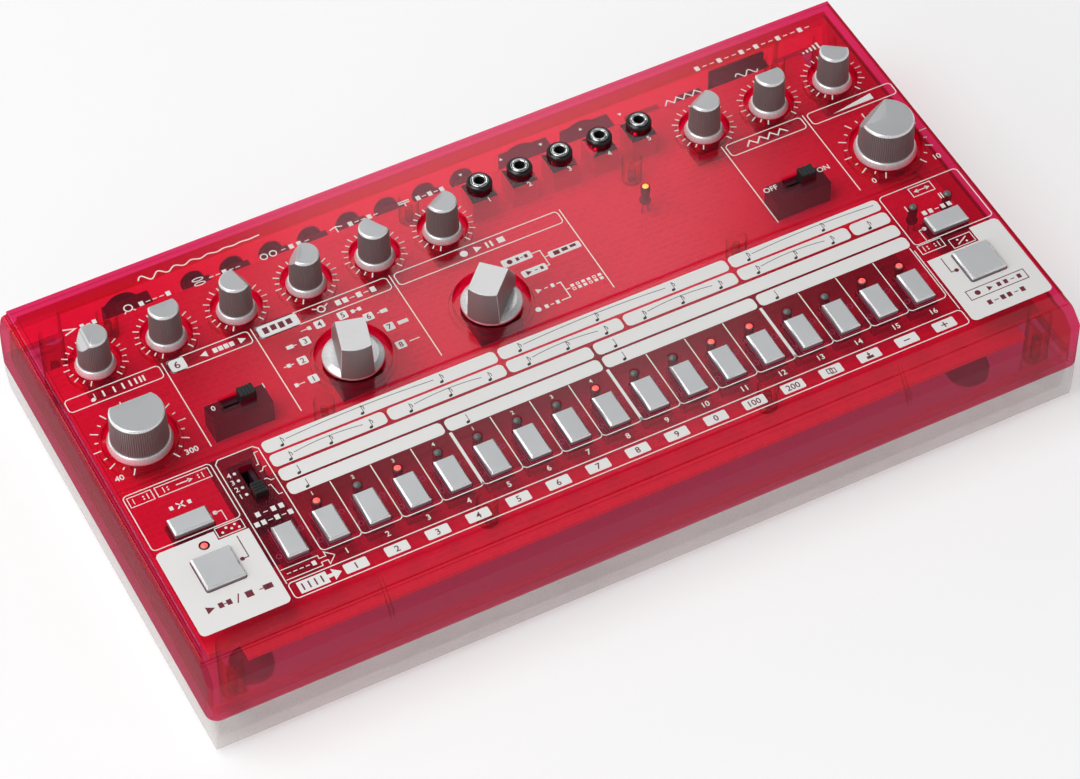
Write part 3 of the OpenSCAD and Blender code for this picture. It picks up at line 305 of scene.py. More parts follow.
def laminate(name, mask, mask_dark, track, painted_shade_zones=()):
    """Board laminate: a solder mask over a faint maze of tracks.
    Each zone is a darker box of painted shade on the board: its ends in millimetres, and the share
    of colour that it keeps."""
    material, tree, bsdf, _ = new_material(name)
    coords = add(tree, "ShaderNodeTexCoord").outputs["Object"]
    values = {
        "Vector": coords,
        "Scale": 110,
        "Mortar Size": 0.045,
        "Color1": (*mask, 1),
        "Color2": (*mask_dark, 1),
        "Mortar": (*track, 1),
    }
    tracks = add(tree, "ShaderNodeTexBrick", values, offset=0.5, squash=1.0)
    color = tracks.outputs["Color"]
    split = add(tree, "ShaderNodeSeparateXYZ", {"Vector": coords}).outputs
    for x0, x1, y0, y1, share in painted_shade_zones:
        in_x, in_y = (
            calculated(tree, "COMPARE", split[axis], (a + b) / 2 * MM, (b - a) / 2 * MM)
            for axis, a, b in (("X", x0, x1), ("Y", y0, y1))
        )
        inside = calculated(tree, "MULTIPLY", in_x, in_y)
        values = {"A": color, "B": (share, share, share, 1), "Factor": inside}
        darker = add(tree, "ShaderNodeMix", values, data_type="RGBA", blend_type="MULTIPLY")
        color = darker.outputs["Result"]
    values = {"Strength": 0.4, "Distance": 0.03 * MM, "Height": tracks.outputs["Fac"]}
    bump = add(tree, "ShaderNodeBump", values).outputs["Normal"]
    gloss = ranged(tree, object_noise(tree, 1800.0), 0.28, 0.4)
    fill(tree, bsdf, {"Base Color": color, "Roughness": gloss, "Normal": bump})
    return material


GREEN_BOARD = laminate(
    "green_laminate", (0.010, 0.075, 0.030), (0.008, 0.060, 0.025), (0.022, 0.14, 0.055)
)
WHITE_BOARD = laminate(
    "white_laminate", (0.90, 0.89, 0.87), (0.85, 0.84, 0.82), (0.93, 0.92, 0.89),
    # painted shade: the board is darker under the rows of notes and the lamps, and around the scale
    # switch
    ((-101, 117, -47, -14, 0.55), (-117, -101, -47, -1, 0.25)),
)


# ------------------------------------------------ making pieces


def smooth(mesh, angle=30):
    mesh.polygons.foreach_set("use_smooth", [True] * len(mesh.polygons))
    mesh.set_sharp_from_angle(angle=math.radians(angle))


def linked(name, mesh, materials=()):
    obj = bpy.data.objects.new(name, mesh)
    SCENE.collection.objects.link(obj)
    for material in materials:
        mesh.materials.append(material)
    return obj


def from_bmesh(name, bm, materials, body=BODY, replaces=(), angle=30):
    """A finished piece, that rides on its body and stands for what it replaces."""
    mesh = bpy.data.meshes.new(name)
    bm.to_mesh(mesh)
    bm.free()
    smooth(mesh, angle)
    obj = linked(name, mesh, materials)
    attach(obj, body)
    if replaces:
        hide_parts(*replaces)


def take_in(bm, other):
    """Moves a mesh or another bmesh into bm."""
    if isinstance(other, bmesh.types.BMesh):
        mesh = bpy.data.meshes.new("part")
        other.to_mesh(mesh)
        other.free()
        other = mesh
    bm.from_mesh(other)
    bpy.data.meshes.remove(other)


def node_copy(node):
    """A node's mesh with its doubles merged."""
    bm = bmesh.new()
    bm.from_mesh(frame["nodes"][node].data)
    bmesh.ops.remove_doubles(bm, verts=bm.verts, dist=0.002 * MM)
    return bm


def join_flat(bm):
    bmesh.ops.dissolve_limit(bm, angle_limit=math.radians(0.5), verts=bm.verts, edges=bm.edges)
    return bm


def sharp_edges(bm, angle, test=lambda edge: True):
    limit = math.radians(angle)
    return [
        e
        for e in bm.edges
        if len(e.link_faces) == 2 and abs(e.calc_face_angle(0.0)) > limit and test(e)
    ]


def soften(bm, edges, width, segments=2, profile=0.5, clamp=True):
    """Bevels the edges, and returns the new faces."""
    return bmesh.ops.bevel(
        bm,
        geom=edges,
        offset=width * MM,
        segments=segments,
        profile=profile,
        affect="EDGES",
        clamp_overlap=clamp,
    )["faces"]


def paint(faces, index):
    for face in faces:
        face.material_index = index


def lathe(bm, profile, count, material_index=0, center=(0, 0)):
    """Turns a closed profile of (radius, height) millimetres about the upright axis at center."""
    cx, cy = center
    turns = [2 * math.pi * i / count for i in range(count)]
    rings = [
        [
            bm.verts.new(((cx + r * math.cos(a)) * MM, (cy + r * math.sin(a)) * MM, z * MM))
            for a in (turns if r else [0.0])
        ]
        for r, z in profile
    ]
    made = []
    for a, b in zip(rings, rings[1:] + rings[:1]):
        if len(a) == 1 and len(b) == 1:
            continue
        for i in range(count):
            j = (i + 1) % count
            if len(a) == 1:
                made.append(bm.faces.new((a[0], b[j], b[i])))
            elif len(b) == 1:
                made.append(bm.faces.new((a[i], a[j], b[0])))
            else:
                made.append(bm.faces.new((a[i], a[j], b[j], b[i])))
    paint(made, material_index)


def outward(bm):
    bmesh.ops.recalc_face_normals(bm, faces=bm.faces)


def closed_cut(bm, point, normal, material_index):
    """Cuts away what lies beyond a plane, and closes the cut. Returns the new faces."""
    geometry = bm.verts[:] + bm.edges[:] + bm.faces[:]
    cut = bmesh.ops.bisect_plane(
        bm, geom=geometry, dist=1e-7, plane_co=point, plane_no=normal, clear_outer=True
    )
    edges = [x for x in cut["geom_cut"] if isinstance(x, bmesh.types.BMEdge)]
    filled = bmesh.ops.holes_fill(bm, edges=edges, sides=0)["faces"] if edges else []
    paint(filled, material_index)
    return filled


def level_with(bm, z):
    """The flat faces at this height, in millimetres."""
    return [f for f in bm.faces if all(abs(v.co.z - z * MM) < 1e-6 for v in f.verts)]


def turned(bm, place, angle):
    """Turns what stands at the origin clockwise by angle, and moves it to its place on the deck."""
    move = Matrix.Translation((Vector((*place, 0)) + DECK) * MM)
    bmesh.ops.transform(
        bm, matrix=move @ Matrix.Rotation(math.radians(-angle), 4, "Z"), verts=bm.verts
    )


# ------------------------------------------------ geometry trees


class Tree:
    """A geometry tree with short ways to add its nodes. An input without a value is a material."""

    def __init__(self, name, inputs):
        self.tree = bpy.data.node_groups.new(name, "GeometryNodeTree")
        new_socket = self.tree.interface.new_socket
        new_socket("Geometry", in_out="OUTPUT", socket_type="NodeSocketGeometry")
        self.ids = {}
        for label, default in inputs.items():
            kind = {int: "Int", float: "Float"}.get(type(default), "Material")
            socket = new_socket(label, in_out="INPUT", socket_type="NodeSocket" + kind)
            if default is not None:
                socket.default_value = default
            self.ids[label] = socket.identifier
        self.inputs = self.tree.nodes.new("NodeGroupInput").outputs
        self.output = self.tree.nodes.new("NodeGroupOutput")

    def __getitem__(self, label):
        return self.inputs[label]

    def node(self, kind, values=None, **settings):
        return add(self.tree, kind, values, **settings)

    def math(self, operation, a, b=0.0):
        return calculated(self.tree, operation, a, b)

    def vector(self, x=0.0, y=0.0, z=0.0):
        return self.node("ShaderNodeCombineXYZ", {"X": x, "Y": y, "Z": z}).outputs[0]

    def close(self, geometry, material):
        """Realizes the instances and sets the material, as the tree's end."""
        real = self.node("GeometryNodeRealizeInstances", {"Geometry": geometry}).outputs[0]
        painted = self.node("GeometryNodeSetMaterial", {"Geometry": real, "Material": material})
        fill(self.tree, self.output, {"Geometry": painted.outputs[0]})

    def run(self, name, **values):
        """The tree's result with these inputs, as a plain mesh."""
        holder = linked("holder_" + name, bpy.data.meshes.new("holder_" + name))
        modifier = holder.modifiers.new("tree", "NODES")
        modifier.node_group = self.tree
        for label, value in values.items():
            modifier[self.ids[label.replace("_", " ").capitalize()]] = value
        bpy.context.view_layer.update()
        graph = bpy.context.evaluated_depsgraph_get()
        mesh = bpy.data.meshes.new_from_object(holder.evaluated_get(graph))
        mesh.name = name
        holder.modifiers.clear()
        bpy.data.objects.remove(holder)
        return mesh


def rod(tree, size):
    """A block that fills size, standing on its base centre."""
    return tree.node("GeometryNodeMeshCube", {"Size": size}).outputs["Mesh"]


def build_tick_tree():
    """Ticks around a dial, on a part of a circle."""
    inputs = {
        "Count": 11,
        "First angle": 0.0,
        "Step angle": 0.5,
        "Radius": 0.01,
        "Length": 0.002,
        "Width": 0.0004,
        "Thickness": 0.00004,
        "Ink": None,
    }
    t = Tree("dial_ticks", inputs)
    places = t.node("GeometryNodeMeshLine", {"Count": t["Count"], "Offset": (0, 0, 0)}).outputs[0]
    number = t.node("GeometryNodeInputIndex").outputs[0]
    angle = t.math("ADD", t["First angle"], t.math("MULTIPLY", number, t["Step angle"]))
    place = t.vector(
        *(t.math("MULTIPLY", t.math(way, angle), t["Radius"]) for way in ("COSINE", "SINE"))
    )
    moved = t.node("GeometryNodeSetPosition", {"Geometry": places, "Position": place}).outputs[0]
    tick = rod(t, t.vector(t["Length"], t["Width"], t["Thickness"]))
    ticks = t.node(
        "GeometryNodeInstanceOnPoints",
        {"Points": moved, "Instance": tick, "Rotation": t.vector(0, 0, angle)},
    ).outputs[0]
    t.close(ticks, t["Ink"])
    return t


def build_knurl_tree():
    """A tapered body with fine upright teeth: a toothed outline carried up a line that narrows."""
    inputs = {
        "Teeth": 58,
        "Depth": 0.04,
        "Foot radius": 0.005,
        "Top radius": 0.0045,
        "Foot height": 0.0005,
        "Top height": 0.011,
        "Rings": 8,
        "Finish": None,
    }
    t = Tree("knurled_body", inputs)
    corners = t.math("MULTIPLY", t["Teeth"], 4)
    outline = t.node(
        "GeometryNodeCurvePrimitiveCircle", {"Resolution": corners, "Radius": 1.0}, mode="RADIUS"
    ).outputs["Curve"]
    number = t.node("GeometryNodeInputIndex").outputs[0]
    # of each four corners, the first and the last lie in the valley
    quarter = t.math("MODULO", t.math("ADD", number, 1), 4)
    valley = t.math("LESS_THAN", quarter, 1.5)
    size = t.math("SUBTRACT", 1.0, t.math("MULTIPLY", valley, t["Depth"]))
    place = t.node("GeometryNodeInputPosition").outputs[0]
    scaled = t.node("ShaderNodeVectorMath", {0: place, "Scale": size}, operation="SCALE").outputs[0]
    toothed = t.node("GeometryNodeSetPosition", {"Geometry": outline, "Position": scaled})
    ends = [t.vector(0, 0, t[label]) for label in ("Foot height", "Top height")]
    line = t.node("GeometryNodeCurvePrimitiveLine", {"Start": ends[0], "End": ends[1]}).outputs[0]
    rings = t.node("GeometryNodeResampleCurve", {"Curve": line, "Count": t["Rings"]})
    share = t.node("GeometryNodeSplineParameter").outputs["Factor"]
    change = t.math("SUBTRACT", t["Top radius"], t["Foot radius"])
    radius = t.math("ADD", t["Foot radius"], t.math("MULTIPLY", share, change))
    narrowed = t.node("GeometryNodeSetCurveRadius", {"Curve": rings.outputs[0], "Radius": radius})
    body = t.node(
        "GeometryNodeCurveToMesh",
        {"Curve": narrowed.outputs[0], "Profile Curve": toothed.outputs[0], "Fill Caps": True},
    )
    if "Scale" in body.inputs:
        fill(t.tree, body, {"Scale": t.node("GeometryNodeInputRadius").outputs[0]})
    t.close(body.outputs[0], t["Finish"])
    return t


TICKS = build_tick_tree()
KNURL = build_knurl_tree()


# ------------------------------------------------ knobs

FACET_SLOPE = 1.52
KNOB_TOP = 12.4
KNOB_FOOT = -2.0
RIM_DROP, RIM_IN = 0.85, 0.5
ROUND = 96  # points around a knob
KNOB_FINISHES = [SATIN_SILVER, KNURL_SILVER, POLISHED_RIM, STAMPED_STEEL]


def facet_plane(distance):
    """Point and outward normal of a pointer facet that faces the rear, in metres."""
    return (
        Vector((0, distance, KNOB_TOP)) * MM,
        Vector((0, FACET_SLOPE, 1)).normalized(),
    )


KNOB_DEPTH = 3.2  # how far a knob goes below the deck at most; its shaft goes further


def add_shaft(bm, node, index):
    """The control shaft below the knob, from the knob's own node."""
    shaft = node_copy(node)
    far = (DECK.z - KNOB_DEPTH) * MM
    above = [v for v in shaft.verts if not any(x.co.z < far for x in island(v))]
    bmesh.ops.delete(shaft, geom=above, context="VERTS")
    paint(shaft.faces, index)
    take_in(bm, shaft)


def island(start):
    """The vertices joined to start."""
    seen, front = {start}, [start]
    while front:
        vertex = front.pop()
        for edge in vertex.link_edges:
            other = edge.other_vert(vertex)
            if other not in seen:
                seen.add(other)
                front.append(other)
    return seen


def round_knob(node, place, angle, skirt_r, foot_r, top_r, facet_at, teeth, tooth_depth):
    """A knob with a toothed body, a polished rim and skirt, and a slanted pointer facet."""
    bm = bmesh.new()
    body = KNURL.run(
        node + "_teeth",
        teeth=teeth,
        depth=tooth_depth / foot_r,
        foot_radius=foot_r * MM,
        top_radius=top_r * MM,
        foot_height=0.25 * MM,
        top_height=(KNOB_TOP - RIM_DROP + 0.1) * MM,
        rings=6,
        finish=KNURL_SILVER,
    )
    take_in(bm, body)
    paint(bm.faces, 1)
    # the head: a polished bevel around a satin top
    rim_z = KNOB_TOP - RIM_DROP
    head = [
        (0, rim_z - 0.3),
        (top_r - 0.35, rim_z - 0.3),
        (top_r - 0.02, rim_z),
        (top_r - 0.10, rim_z + 0.25),
        (top_r - RIM_IN + 0.06, KNOB_TOP - 0.08),
        (top_r - RIM_IN - 0.08, KNOB_TOP),
        (0, KNOB_TOP),
    ]
    lathe(bm, head, ROUND, 2)
    bm.normal_update()
    paint(level_with(bm, KNOB_TOP), 0)
    outward(bm)
    facets = closed_cut(bm, *facet_plane(facet_at), 0)
    rim = {
        e
        for f in facets
        if f.is_valid
        for e in f.edges
        if all(v.co.z > (rim_z - 3) * MM for v in e.verts)
        and any(g not in facets and g.material_index != 1 for g in e.link_faces)
    }
    if rim:
        paint(soften(bm, list(rim), 0.10), 2)
    # the skirt: a polished cone down into the well, hollow below
    skirt = [
        (0, 0.3),
        (foot_r + 0.15, 0.42),
        (foot_r + 0.45, 0.2),
        (skirt_r - 0.12, KNOB_FOOT + 0.72),
        (skirt_r, KNOB_FOOT + 0.5),
        (skirt_r, KNOB_FOOT + 0.12),
        (skirt_r - 0.12, KNOB_FOOT),
        (skirt_r - 1.5, KNOB_FOOT),
        (skirt_r - 1.7, KNOB_FOOT + 1.3),
        (4.2, KNOB_FOOT + 1.3),
        (4.1, KNOB_FOOT),
        (3.1, KNOB_FOOT),
        (3.1, KNOB_FOOT + 1.9),
        (0, KNOB_FOOT + 1.9),
    ]
    lathe(bm, skirt, ROUND, 2)
    outward(bm)
    turned(bm, place, angle)
    add_shaft(bm, node, 3)
    from_bmesh(node + "_cap", bm, KNOB_FINISHES, node, [node], 18)


SMALL = dict(skirt_r=6.6, foot_r=5.4, top_r=4.9, facet_at=1.95, teeth=58, tooth_depth=0.24)
LARGE = dict(skirt_r=10.4, foot_r=9.25, top_r=8.75, facet_at=4.66, teeth=78, tooth_depth=0.3)
for node, x, angle in SMALL_KNOBS:
    round_knob(node, (x, SMALL_ROW_Y), angle, **SMALL)
for node, x, angle in LARGE_KNOBS:
    round_knob(node, (x, DIAL_ROW_Y), angle, **LARGE)


def selector_knob(node, place, angle):
    """A bar across a disc, with polished edges around its top and a slanted pointer facet."""
    bm = bmesh.new()
    r, half, flare, facet_at = 9.95, 4.8, 0.7, 3.06
    # the disc, with a polished cone on its upper side
    disc = [
        (0, KNOB_FOOT),
        (r - 0.15, KNOB_FOOT),
        (r, KNOB_FOOT + 0.15),
        (r, KNOB_FOOT + 0.9),
        (r - 0.2, KNOB_FOOT + 1.15),
        (r - 1.9, KNOB_FOOT + 2.1),
        (0, KNOB_FOOT + 2.2),
    ]
    lathe(bm, disc, ROUND, 2)
    # the bar: an upright cylinder cut by two slightly slanted planes
    bar = bmesh.new()
    low, reach = KNOB_FOOT + 0.2, r - 0.02
    lathe(bar, [(0, low), (reach, low), (reach, KNOB_TOP), (0, KNOB_TOP)], 128, 1)
    outward(bar)
    height = KNOB_TOP - KNOB_FOOT
    for side in (-1, 1):
        slant = Vector((side * height, 0, flare)).normalized()
        closed_cut(bar, Vector((side * half, 0, KNOB_TOP)) * MM, slant, 1)
    closed_cut(bar, *facet_plane(facet_at), 0)
    join_flat(bar)
    edges = sharp_edges(bar, 25, lambda e: max(v.co.z for v in e.verts) > 0)
    paint(soften(bar, edges, 0.55, profile=0.6), 2)
    paint(level_with(bar, KNOB_TOP), 0)
    take_in(bm, bar)
    outward(bm)
    turned(bm, place, angle)
    add_shaft(bm, node, 3)
    # the top gets the lighter paint: a painted highlight
    finishes = [SELECTOR_TOP_HIGHLIGHT, *KNOB_FINISHES[1:]]
    from_bmesh(node + "_cap", bm, finishes, node, [node], 15)


for node, x, angle in SELECTORS:
    selector_knob(node, (x, DIAL_ROW_Y), angle)


# ------------------------------------------------ the shells, with softened outer edges


SHELL_EDGE = 0.5  # width of the bevel, in millimetres
LONG_EDGE = 20
SIDE_X, FRONT_Y, REAR_Y = 148.5, -71.5, 75.5  # what lies beyond these is on the outside
SEAM_Z = 18.2  # where the two shells meet


def outer_edge(edge):
    """Long outer edges of a shell, that stand away from any opening and from the seam."""
    if edge.calc_length() < LONG_EDGE * MM or not edge.is_convex:
        return False
    ends = [v.co / MM for v in edge.verts]
    outside = all(abs(p.x) > SIDE_X or p.y < FRONT_Y or p.y > REAR_Y for p in ends)
    return outside and not all(abs(p.z - SEAM_Z) < 0.3 for p in ends)


def shell(node, material):
    bm = join_flat(node_copy(node))
    soften(bm, sharp_edges(bm, 8, outer_edge), SHELL_EDGE, 3, clamp=False)
    from_bmesh(node + "_shell", bm, [material], BODY, [node], 12)


shell("top_case", RED_CLEAR)
shell("bottom_case", FROSTED_CLEAR)


# ------------------------------------------------ lamps, sockets, buttons and slide caps


def top_of(face):
    return max(v.co.z for v in face.verts)


def round_piece(
    node, materials, width, angle, choose, body=BODY, test=lambda edge: True, flat=35
):
    """A node's own shape with softened edges, and a material for each of its faces."""
    bm = join_flat(node_copy(node))
    edges = sharp_edges(bm, angle, test)
    if edges:
        soften(bm, edges, width)
    bm.normal_update()
    for face in bm.faces:
        face.material_index = choose(face)
    from_bmesh(node + "_piece", bm, materials, body, [node], flat)


LAMP_R, LEGS_Z = 3, -7.5
LIT_LAMPS = [(step_at(k - 1), LAMP_Y) for k in LIT_STEPS] + [(-EDGE_X, LAMP_Y)]


def lamp_kind(face):
    """Steel legs, dark below the deck, and above it lit, amber or dark."""
    place = face.calc_center_median() / MM - DECK
    if place.z < LEGS_Z:
        return 3
    if place.z < 0:
        return 0
    if math.dist(place.xy, POWER_LAMP) < LAMP_R:
        return 2
    return int(any(math.dist(place.xy, lamp) < LAMP_R for lamp in LIT_LAMPS))


round_piece(
    "lamps", [LAMP_DARK, LAMP_LIT, LAMP_POWER, SCREW_STEEL], 0.1, 179, lamp_kind
)


DECK_SOCKETS = [(SOCKET_X + k * SOCKET_PITCH, SOCKET_Y) for k in range(5)]
BORE_R, COLLAR_Z = 1.9, -2.4


def socket_kind(face):
    """Black in the bore, chrome at the collar, and white below."""
    place = face.calc_center_median() / MM - DECK
    if place.z < 2 and min(math.dist(place.xy, at) for at in DECK_SOCKETS) < BORE_R:
        return 2
    return int(place.z > COLLAR_Z)


round_piece(
    "deck_sockets",
    [SOCKET_WHITE, CONTACT_CHROME, BLACK_MOULDED],
    0.25,
    60,
    socket_kind,
    test=lambda e: min(v.co.z for v in e.verts) > (DECK.z + 2.2) * MM,
)

# nuts: black, rounded and finely ridged on the deck, plain behind
NUT_PROFILE = (
    (3.05, 0),
    (4.0, 0),
    (4.18, 0.25),
    (4.2, 0.5),
    (4.2, 1.4),
    (4.1, 1.75),
    (3.8, 2.05),
    (3.45, 2.2),
    (3.05, 2.1),
)
RIDGES = 32
bm = join_flat(node_copy("socket_nuts"))
plain = [v for v in bm.verts if v.co.z > (DECK.z - 1) * MM]
bmesh.ops.delete(bm, geom=plain, context="VERTS")
soften(bm, sharp_edges(bm, 50, lambda e: max(v.co.y for v in e.verts) > 0.0805), 0.3)
for x, y in DECK_SOCKETS:
    lathe(bm, [(r, DECK.z + z) for r, z in NUT_PROFILE], 64, 0, (x, y + DECK.y))
for x, y in DECK_SOCKETS:
    ridge = bmesh.new()
    middle = Vector((x, y, 0.95)) + DECK
    for j in range(RIDGES):
        a = 2 * math.pi * j / RIDGES
        made = bmesh.ops.create_cube(ridge, size=1.0)["verts"]
        place = Matrix.Translation((middle + Vector((math.cos(a), math.sin(a), 0)) * 4.12) * MM)
        size = Matrix.Diagonal((0.26 * MM, 0.3 * MM, 0.95 * MM, 1))
        matrix = place @ Matrix.Rotation(a, 4, "Z") @ size
        bmesh.ops.transform(ridge, matrix=matrix, verts=made)
    take_in(bm, ridge)
outward(bm)
from_bmesh("socket_nuts_piece", bm, [BLACK_GLOSS], BODY, ["socket_nuts"], 35)


def button_kind(face):
    """Silver on top; at the softened edges a lighter, glossier copy of the paint as painted
    highlight; at the sides a dark copy as painted shade; steel below the deck.
    """
    if top_of(face) < (DECK.z - 0.5) * MM:
        return 2
    if face.normal.z > 0.99:
        return 0
    return 3 if abs(face.normal.z) < 0.1 else 1


def button_edge(edge):
    return max(v.co.z for v in edge.verts) > (DECK.z + 0.5) * MM


def slide_edge(edge):
    """Edges of the grip, and the upright ones of the stem."""
    low, high = (pick(v.co.z for v in edge.verts) for pick in (min, max))
    above = low > (DECK.z + 0.5) * MM
    return above or (high > (DECK.z + 1.2) * MM and low < (DECK.z - 1) * MM)


BUTTON_FINISHES = [BUTTON_SILVER, BUTTON_EDGE_HIGHLIGHT, STAMPED_STEEL, BUTTON_SIDE_SHADE]
for node in sorted(frame["nodes"]):
    if "button" in node:
        round_piece(
            node, BUTTON_FINISHES, 0.2, 60, button_kind, node, button_edge, 15
        )
    elif node.endswith("_switch_cap"):
        round_piece(
            node, [BLACK_MOULDED], 0.35, 60, lambda face: 0, node, slide_edge, 15
        )


# ------------------------------------------------ prints on the deck


def corners(x0, y0, x1, y1, r=0.0, steps=5):
    """A box as a loop of points, with round corners where r isn't 0."""
    if r <= 0:
        return [(x0, y0), (x1, y0), (x1, y1), (x0, y1)]
    loop = []
    for cx, cy, start in (
        (x1 - r, y1 - r, 0),
        (x0 + r, y1 - r, 90),
        (x0 + r, y0 + r, 180),
        (x1 - r, y0 + r, 270),
    ):
        for k in range(steps + 1):
            a = math.radians(start + 90 * k / steps)
            loop.append((cx + r * math.cos(a), cy + r * math.sin(a)))
    return loop


def round_loop(x, y, r, count=20, flat=1.0, tilt=0.0):
    """A circle or a tilted ellipse as a loop of points."""
    c, s = math.cos(math.radians(tilt)), math.sin(math.radians(tilt))
    loop = []
    for k in range(count):
        a = 2 * math.pi * k / count
        u, v = r * math.cos(a), r * flat * math.sin(a)
        loop.append((x + u * c - v * s, y + u * s + v * c))
    return loop


GLYPHS = {}


def glyph(text):
    """A number or a switch mark as a closed mesh, one unit high and centred."""
    if text not in GLYPHS:
        curve = bpy.data.curves.new("mark", "FONT")
        curve.body, curve.extrude, curve.resolution_u = text, 0.5, 3
        curve.offset = 0.012
        holder = bpy.data.objects.new("mark", curve)
        SCENE.collection.objects.link(holder)
        bpy.context.view_layer.update()
        graph = bpy.context.evaluated_depsgraph_get()
        mesh = bpy.data.meshes.new_from_object(holder.evaluated_get(graph))
        bpy.data.objects.remove(holder)
        bm = bmesh.new()
        take_in(bm, mesh)
        bmesh.ops.remove_doubles(bm, verts=bm.verts, dist=1e-5)
        xs, ys = [v.co.x for v in bm.verts], [v.co.y for v in bm.verts]
        size = max(ys) - min(ys)
        middle = Vector(((max(xs) + min(xs)) / 2, (max(ys) + min(ys)) / 2, 0))
        for v in bm.verts:
            v.co = Vector(((v.co.x - middle.x) / size, (v.co.y - middle.y) / size, v.co.z))
        made = bpy.data.meshes.new("glyph_" + text)
        bm.to_mesh(made)
        bm.free()
        GLYPHS[text] = made
    return GLYPHS[text]


class Ink:
    """Thin closed prints, gathered in one mesh, in deck millimetres from x, y."""

    def __init__(self, low=-0.01, high=PRINT_T, bm=None, x=0.0, y=0.0):
        self.bm = bmesh.new() if bm is None else bm
        self.low, self.high, self.x, self.y = low, high, x, y

    def at(self, x, y):
        """The same ink, with its origin at x, y."""
        return Ink(self.low, self.high, self.bm, x, y)

    def prism(self, *loops):
        """A flat shape: the first loop goes around it, the others are holes."""
        rings = [
            [
                [
                    self.bm.verts.new(Vector((self.x + x, self.y + y, z)) * MM)
                    for z in (self.low, self.high)
                ]
                for x, y in loop
            ]
            for loop in loops
        ]
        pairs = [pair for ring in rings for pair in ring]
        for a, b, c in tessellate_polygon([[Vector((x, y, 0)) for x, y in loop] for loop in loops]):
            self.bm.faces.new((pairs[a][1], pairs[b][1], pairs[c][1]))
            self.bm.faces.new((pairs[c][0], pairs[b][0], pairs[a][0]))
        for ring in rings:
            for a, b in zip(ring, ring[1:] + ring[:1]):
                self.bm.faces.new((a[0], b[0], b[1], a[1]))

    def box(self, x0, y0, x1, y1, r=0.0, *holes):
        self.prism(corners(x0, y0, x1, y1, r), *holes)

    def outline(self, x0, y0, x1, y1, r=0.0, w=0.35):
        self.prism(corners(x0, y0, x1, y1, r), corners(x0 + w, y0 + w, x1 - w, y1 - w, r - w))

    def line(self, points, w=0.35):
        """A line with mitred corners."""
        path = [Vector(p) for p in points]
        left, right = [], []
        for k, p in enumerate(path):
            before = (p - path[k - 1]).normalized() if k else None
            after = (path[k + 1] - p).normalized() if k < len(path) - 1 else None
            before, after = before or after, after or before
            along = (before + after).normalized()
            side = Vector((-along.y, along.x))
            reach = w / 2 / max(0.35, side.dot(Vector((-before.y, before.x))))
            left.append(p + side * reach)
            right.append(p - side * reach)
        self.prism([tuple(p) for p in left + right[::-1]])

    def dot(self, x, y, r, count=14):
        self.prism(round_loop(x, y, r, count))

    def ring(self, x, y, r, w=0.35, count=28):
        self.prism(round_loop(x, y, r, count), round_loop(x, y, r - w, count))

    def arrow(self, x, y, size, angle=0.0):
        """A filled triangle that points along angle."""
        a = math.radians(angle)
        self.prism(
            [
                (x + size * math.cos(a + k), y + size * math.sin(a + k))
                for k in (0, math.radians(125), math.radians(235))
            ]
        )

    def number(self, text, x, y, height):
        first = len(self.bm.verts)
        self.bm.from_mesh(glyph(text))
        self.bm.verts.ensure_lookup_table()
        middle, tall = (self.low + self.high) / 2, self.high - self.low
        for v in self.bm.verts[first:]:
            flat = Vector((self.x + x, self.y + y)) + v.co.xy * height
            v.co = Vector((*flat, middle + v.co.z * tall)) * MM

    def steps(self, x0, x1, y, size, pattern):
        """A row of squares for 1, and of dashes for 0, from x0 to x1."""
        pitch = (x1 - x0 - size) / max(1, len(pattern) - 1)
        for k, filled in enumerate(pattern):
            x, half = x0 + size / 2 + k * pitch, size / 2
            tall = half if filled == "1" else 0.16
            self.box(x - half * 0.8, y - tall, x + half * 0.8, y + tall)

    def finish(self, name, material):
        outward(self.bm)
        bmesh.ops.translate(self.bm, vec=DECK * MM, verts=self.bm.verts)
        from_bmesh(name, self.bm, [material])


STRIP_TOP, STRIP_LOW = -65.55, -71.82
white = Ink()
dark = Ink(0.02, 0.07)
notes = Ink(0.02, 0.07)

# lines between the groups of the upper section, and the boxes above them
for x in (-115.04, -84.53, -36.09, 24.98, 84.73, 115.20):
    white.line([(x, 31.1), (x, -6.65)])
for x0, x1 in (
    (-148.41, -116.12),
    (-113.82, -85.63),
    (-83.44, -37.15),
    (-34.96, 23.99),
    (85.74, 114.21),
    (116.29, 148.40),
):
    white.outline(x0, 25.4, x1, 31.1, 1.5)
white.box(-113.82, 25.4, -108.15, 31.1, 1.2)
white.box(-83.44, 25.4, -69.30, 31.1, 1.2)
BOX_Y = 28.25
plain, filled = white.at(0, BOX_Y), dark.at(0, BOX_Y)
# tempo: a note with beats that come closer
plain.prism(round_loop(-139.6, -0.9, 0.95, 14, 0.75, 25))
plain.line([(-138.8, -0.8), (-138.8, 1.4)], 0.3)
for gap in (0, 3.6, 6.6, 9.0, 10.9, 12.4, 13.6):
    plain.box(-136.2 + gap, -1.25, -135.6 + gap, 1.25)
# a choice of sounds
filled.number("6", -111.0, 0, 2.9)
plain.arrow(-101.6, 0, 1.5, 180)
plain.steps(-98.9, -91.3, 0, 1.9, "1111")
plain.arrow(-88.8, 0, 1.5, 0)
# the instrument's row, and a drum
for k in range(4):
    filled.box(-81.4 + k * 2.7, -1.3 + 0.35 * (k % 2), -79.6 + k * 2.7, 1.3)
plain.ring(-61.2, 0, 1.45, 0.45)
plain.line([(-63.9, 1.3), (-61.9, 0.2)], 0.4)
plain.line([(-58.5, 1.3), (-60.5, 0.2)], 0.4)
plain.steps(-56.4, -42.0, 0, 2.2, "110101")
